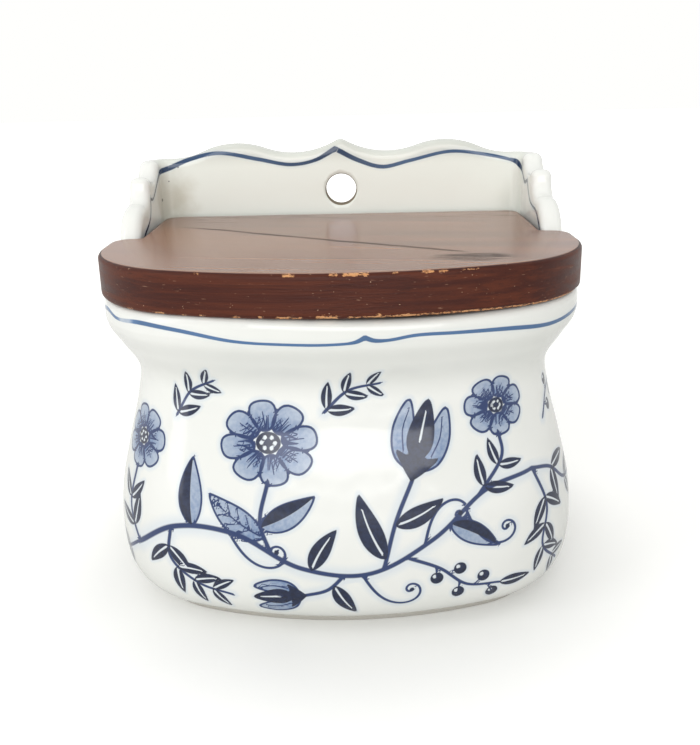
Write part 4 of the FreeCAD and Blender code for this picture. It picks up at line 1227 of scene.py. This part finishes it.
class Wood(Surface):
    """Dark stained hardwood with its grain nearly from left to right, bare where it is worn."""

    def __init__(self, name, dark, light, pore):
        super().__init__(name)
        lean = self.math("MULTIPLY_ADD", self.x, GRAIN_SLOPE, self.y)
        self.along = self.add("ShaderNodeCombineXYZ", self.x, lean, self.z).outputs[0]
        grain = self.grained((0.010, 0.13, 0.5), detail=5, roughness=0.6, distortion=0.4)
        self.fine = self.grained((0.022, 0.62, 2.0), (7.0, 0.0, 0.0), detail=5, roughness=0.7)
        pores = self.grained((0.09, 2.4, 3.4), (3.0, 5.0, 0.0), detail=2, roughness=0.6)
        colour = self.mix(self.fade(grain, 0.34, 0.66), dark, light)
        colour = self.mix(self.fade(self.fine, 0.52, 0.68, 0.0, 0.55), colour, pore)
        self.colour = self.mix(self.fade(pores, 0.64, 0.72, 0.0, 0.6), colour, pore)
        # Bare wood where the edges are worn, in ragged chips
        chips = self.noise(self.stretched((1.1, 1.1, 2.3)), detail=5, roughness=0.7)
        need = self.fade(chips, 0.36, 0.62, 0.95, 0.12)
        self.bare = self.fade(self.math("SUBTRACT", self.painted("worn"), need), -0.02, 0.08)
        relief = self.math("MULTIPLY_ADD", self.bare, -1.5, self.math("ADD", self.fine, pores))
        self.set(Roughness=self.fade(grain, 0.3, 0.7, 0.40, 0.50), Normal=self.bump(relief, 0.00025, 0.35))

    def grained(self, factors, offset=(0.0, 0.0, 0.0), **settings):
        """Noise that is drawn out along the grain."""
        return self.noise(self.stretched(factors, offset, self.along), **settings)

    def finish(self, colour, **sockets):
        """The material with its colour, and with pale bare wood in the worn places."""
        tint = self.mix(self.fade(self.fine, 0.35, 0.65), BARE_LIGHT, BARE_DARK)
        self.set(Base_Color=self.mix(self.bare, colour, tint), **sockets)
        return self.material


def top_material():
    """The waxed top of the lid, with one dark line of figure that runs across it and ends in a dark patch."""
    tree = Wood("lid_wood_top", *TOP_WOOD)
    wander = tree.grained((0.05, 0.05, 0.05), detail=3)
    off = tree.math("MULTIPLY_ADD", tree.x, FIGURE_SLOPE, tree.y)
    off = tree.math("SUBTRACT", off, FIGURE_PLACE + FIGURE_WANDER / 2)
    off = tree.math("MULTIPLY_ADD", wander, FIGURE_WANDER, off)
    line = tree.product(
        tree.fade(tree.size(off), 0.5, 1.9, 1.0, 0.0),
        tree.product(tree.fade(tree.x, -58.0, -40.0), tree.fade(tree.x, 38.0, 30.0)),
        tree.fade(tree.fine, 0.3, 0.55, 0.55, 0.9),
    )
    # Below the line the wood is a little paler and plainer
    colour = tree.mix(tree.fade(off, 1.0, -6.0, 0.0, 0.35), tree.colour, PLAIN_WOOD)
    shift = tuple(-scale * place for scale, place in zip(PATCH_SCALE, PATCH_PLACE))
    distance = tree.vector("LENGTH", tree.stretched((*PATCH_SCALE, 0.0), (*shift, 0.0)))
    streaks = tree.grained((0.06, 0.8, 0.8), (1.0, 0.0, 0.0), detail=4, roughness=0.7)
    blotch = tree.product(tree.fade(distance, 1.2, 0.5), tree.fade(streaks, 0.40, 0.54))
    rear = tree.product(tree.fade(tree.y, 22.0, 40.0), tree.fade(streaks, 0.50, 0.64, 0.0, 0.7))
    dark = tree.most(line, blotch, rear)
    return tree.finish(
        tree.mix(dark, colour, FIGURE_WOOD),
        Specular_IOR_Level=0.0,
        Coat_Weight=tree.fade(dark, 0.0, 1.0, 1.0, 0.45),
        Coat_Roughness=0.22,
    )


def edge_material():
    """The worn edge of the lid, without its wax, with scratches and fine cracks at its ends."""
    tree = Wood("lid_wood_edge", *EDGE_WOOD)
    marks = tree.noise(tree.stretched((0.30, 0.30, 1.9), (11.0, 0.0, 2.0)), detail=3, roughness=0.6)
    colour = tree.mix(tree.fade(marks, 0.66, 0.74, 0.0, 0.6), tree.colour, SCRATCH)
    specks = tree.noise(tree.stretched((1.1, 1.1, 1.6), (0.0, 4.0, 9.0)), detail=2)
    colour = tree.mix(tree.fade(specks, 0.735, 0.77, 0.0, 0.9), colour, CHIP)
    # Glue lines that opened a little at the two ends
    off = tree.math("PINGPONG", tree.math("SUBTRACT", tree.z, SEAM_HEIGHT), SEAM_STEP)
    seam = tree.product(tree.fade(off, 0.08, 0.2, 1.0, 0.0), tree.fade(tree.size(tree.x), 60.0, 67.0), 0.75)
    return tree.finish(tree.mix(seam, colour, SEAM), Specular_IOR_Level=0.2)


def steel_material():
    """Dull plain steel wire."""
    tree = Surface("pin_steel")
    streak = tree.noise(tree.stretched((0.3, 4.0, 4.0)), detail=3)
    tree.set(
        Base_Color=tree.mix(tree.fade(streak, 0.3, 0.7), (0.36, 0.35, 0.33), (0.58, 0.56, 0.53)),
        Metallic=1.0,
        Roughness=tree.fade(streak, 0.3, 0.7, 0.3, 0.45),
    )
    return tree.material


# Light: glow of the table near and far, kept low next to the box as a painted shadow round it, strength of
# the room in front and behind, and power of the lamps
GLOW_PAST_PAINTED_SHADOW = 0.24
FAR_GLOW = 0.42
ROOM_FRONT = 0.26
ROOM_BACK = 0.80
ROOM_SLOPE = (-0.25, 0.75, 0.6)
WINDOW_POWER = 1.0
FILL_POWER = 9.7
WARM_WHITE = (1.0, 1.0, 0.985)


def table_material():
    """The plain white table that the box stands on; a little brighter where it is only seen, with a painted
    shadow round the box.
    """
    tree = Surface("table")
    camera, seen = tree.seen()
    away = tree.vector("LENGTH", tree.place)
    # Painted shadow: the table glows less near the box and more further off
    glow = tree.fade(away, 55.0, 115.0, 0.03, GLOW_PAST_PAINTED_SHADOW)
    glow = tree.math("ADD", glow, tree.fade(away, 150.0, 700.0, 0.03, FAR_GLOW))
    tree.set(
        Base_Color=tree.mix(camera, (0.70, 0.70, 0.68), (0.92, 0.92, 0.905)),
        Roughness=0.8,
        Specular_IOR_Level=0.1,
        Emission_Color=WARM_WHITE,
        Emission_Strength=tree.product(seen, glow),
    )
    return tree.material


def dress(piece, *materials):
    piece.data.materials.clear()
    for material in materials:
        piece.data.materials.append(material)


# Faces of the lid that look up by at least this much are its top
TOP_FACING = 0.97
dress(pot, glaze_material())
dress(lid, top_material(), edge_material())
for face in lid.data.polygons:
    face.material_index = 0 if face.normal.z > TOP_FACING else 1
steel = steel_material()
for side in ("left", "right"):
    dress(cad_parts[f"hinge_pin_{side}"], steel)

# Table, in metres across
TABLE_SIZE = 6
bpy.ops.mesh.primitive_plane_add(size=TABLE_SIZE, location=(0, 0, 0))
table = bpy.context.object
table.name = "table"
dress(table, table_material())

# Room: white all round for the camera; on the object it is brighter above and behind than in front
world = bpy.data.worlds.new("room")
bpy.context.scene.world = world
world.use_nodes = True
room = Tree(world.node_tree)
slope = room.vector("DOT_PRODUCT", room.add("ShaderNodeTexCoord").outputs["Generated"], ROOM_SLOPE)
level = room.add("ShaderNodeMix")
for index, value in ((0, room.seen()[1]), (2, room.fade(slope, -0.7, 0.6, ROOM_FRONT, ROOM_BACK)), (3, 1.0)):
    room.put(level.inputs[index], value)
background = world.node_tree.nodes["Background"]
room.put(background.inputs["Strength"], level.outputs[0])
room.put(background.inputs["Color"], WARM_WHITE)


def lamp(name, place, aim, size, power):
    """A soft rectangular lamp; places in millimetres."""
    data = bpy.data.lights.new(name, "AREA")
    data.shape = "RECTANGLE"
    data.size, data.size_y = size[0] * MM, size[1] * MM
    data.energy = power
    made = bpy.data.objects.new(name, data)
    bpy.context.scene.collection.objects.link(made)
    made.location = np.array(place) * MM
    made.rotation_mode = "QUATERNION"
    made.rotation_quaternion = (Vector(aim) - Vector(place)).to_track_quat("-Z", "Y")


lamp("window", (-600, -350, 350), (0, 0, 100), (260, 700), WINDOW_POWER)
lamp("fill", (25, -1250, 520), (0, 0, 80), (1300, 800), FILL_POWER)

# Camera
CAMERA_PLACE = (4.35, -275.86, 155.13)
LENS = 46.67
PITCH, YAW, ROLL = math.radians(18.482), math.radians(-0.475), math.radians(-1.267)
camera = bpy.data.objects.new("camera", bpy.data.cameras.new("camera"))
bpy.context.scene.collection.objects.link(camera)
camera.data.sensor_fit = "HORIZONTAL"
camera.data.sensor_width = 36.0
camera.data.lens = LENS
camera.data.clip_start = 0.01
camera.location = np.array(CAMERA_PLACE) * MM
forward = Vector((math.sin(YAW) * math.cos(PITCH), math.cos(YAW) * math.cos(PITCH), -math.sin(PITCH)))
camera.rotation_mode = "QUATERNION"
camera.rotation_quaternion = forward.to_track_quat("-Z", "Y") @ Euler((0, 0, ROLL)).to_quaternion()
bpy.context.scene.camera = camera
bpy.context.scene.view_settings.view_transform = "Standard"
